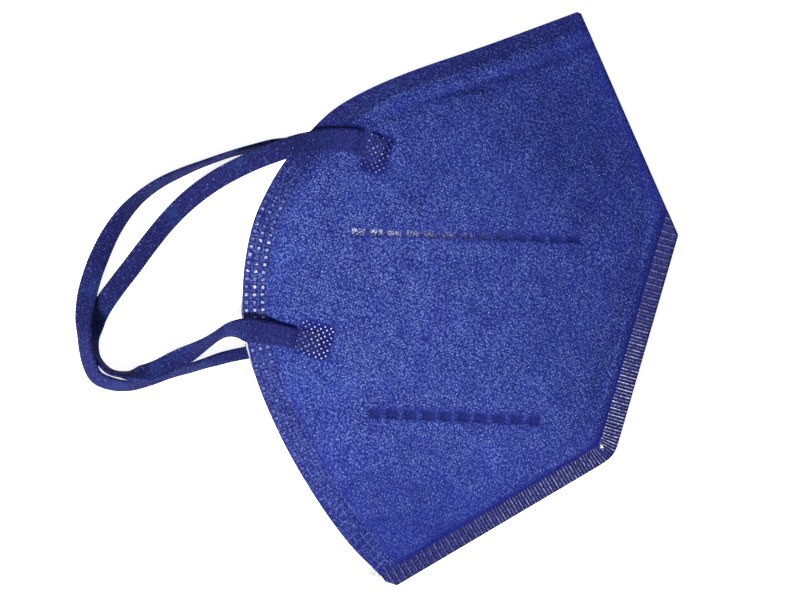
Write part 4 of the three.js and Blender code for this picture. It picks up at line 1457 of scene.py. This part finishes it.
def strip_material():
    material, n, shader = new_material("nose_strip_aluminium")
    _, grain = object_place(n)
    brushed = n.noise(n.turned(grain, STRIP_TURN, BRUSH_SHAPE), 2.0, detail=4.0)
    colour = n.mix(brushed, ALUMINIUM_DARK, ALUMINIUM_PALE)
    set_surface(n, shader, colour, n.step(brushed, 0.3, 0.7, 0.32, 0.5), brushed, 0.00004)
    n.feed(shader.inputs["Metallic"], 1.0)
    return material


def dress(piece, material):
    piece.data.materials.clear()
    piece.data.materials.append(material)


dress(near_half, shell_material("shell_near_blue", DASH_ROWS))
dress(far_half, shell_material("shell_far_blue", []))
dress(front_weld, weld_material())
dress(lining, lining_material())
elastic, molten, strip_finish = band_material(), pin_material(), strip_material()
for piece in (near_band, far_band):
    dress(piece, elastic)
for piece in (near_pins, far_pins):
    dress(piece, molten)
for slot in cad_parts["nose_clip"].material_slots:
    slot.material = strip_finish

# -------------------- sheets


def flat_area(fold_inset, seam_inset):
    width = front_line(fold_inset, seam_inset)[:, 0] - rim_x(DENSE_Y)
    return float(np.sum(np.maximum(width, 0)) * (DENSE_Y[1] - DENSE_Y[0]))


# -------------------- floor and light


def add_floor():
    bpy.ops.mesh.primitive_plane_add(size=4.0, location=(0, 0, 0))
    floor = bpy.context.object
    floor.name = "floor"
    material, n, shader = new_material("floor_paper")
    colour = n.mix(n.noise(object_place(n)[1], 0.4, detail=3.0), PAPER_DARK, PAPER_PALE)
    n.feed(shader.inputs["Base Color"], colour)
    n.feed(shader.inputs["Emission Color"], colour)
    n.feed(shader.inputs["Emission Strength"], PAPER_GLOW)
    n.feed(shader.inputs["Roughness"], 0.9)
    dress(floor, material)
    return floor


def add_light(name, azimuth, elevation, distance, size, power):
    """Soft square light, azimuth from +X, both angles in degrees, facing the mask."""
    data = bpy.data.lights.new(name, "AREA")
    data.shape = "SQUARE"
    data.size = size
    data.energy = power
    light = bpy.data.objects.new(name, data)
    a, e = math.radians(azimuth), math.radians(elevation)
    light.location = (distance * math.cos(a) * math.cos(e), distance * math.sin(a) * math.cos(e),
                      distance * math.sin(e))
    light.rotation_euler = (math.pi / 2 - e, 0, a + math.pi / 2)
    bpy.context.scene.collection.objects.link(light)


floor = add_floor()
add_light("key_light", azimuth=243, elevation=38, distance=1.3, size=0.18, power=32)
add_light("top_light", azimuth=60, elevation=75, distance=1.4, size=0.9, power=3)
world = bpy.data.worlds.new("studio")
world.use_nodes = True
background = world.node_tree.nodes["Background"].inputs
background["Color"].default_value = (0.95, 0.97, 1.0, 1)
background["Strength"].default_value = 0.26
bpy.context.scene.world = world
bpy.context.scene.view_settings.view_transform = "Standard"

flat_area(0.0, 0.0)
flat_area(0.0, 0.0)
2 * flat_area(LINING_HEM_FOLD, LINING_HEM_WELD)
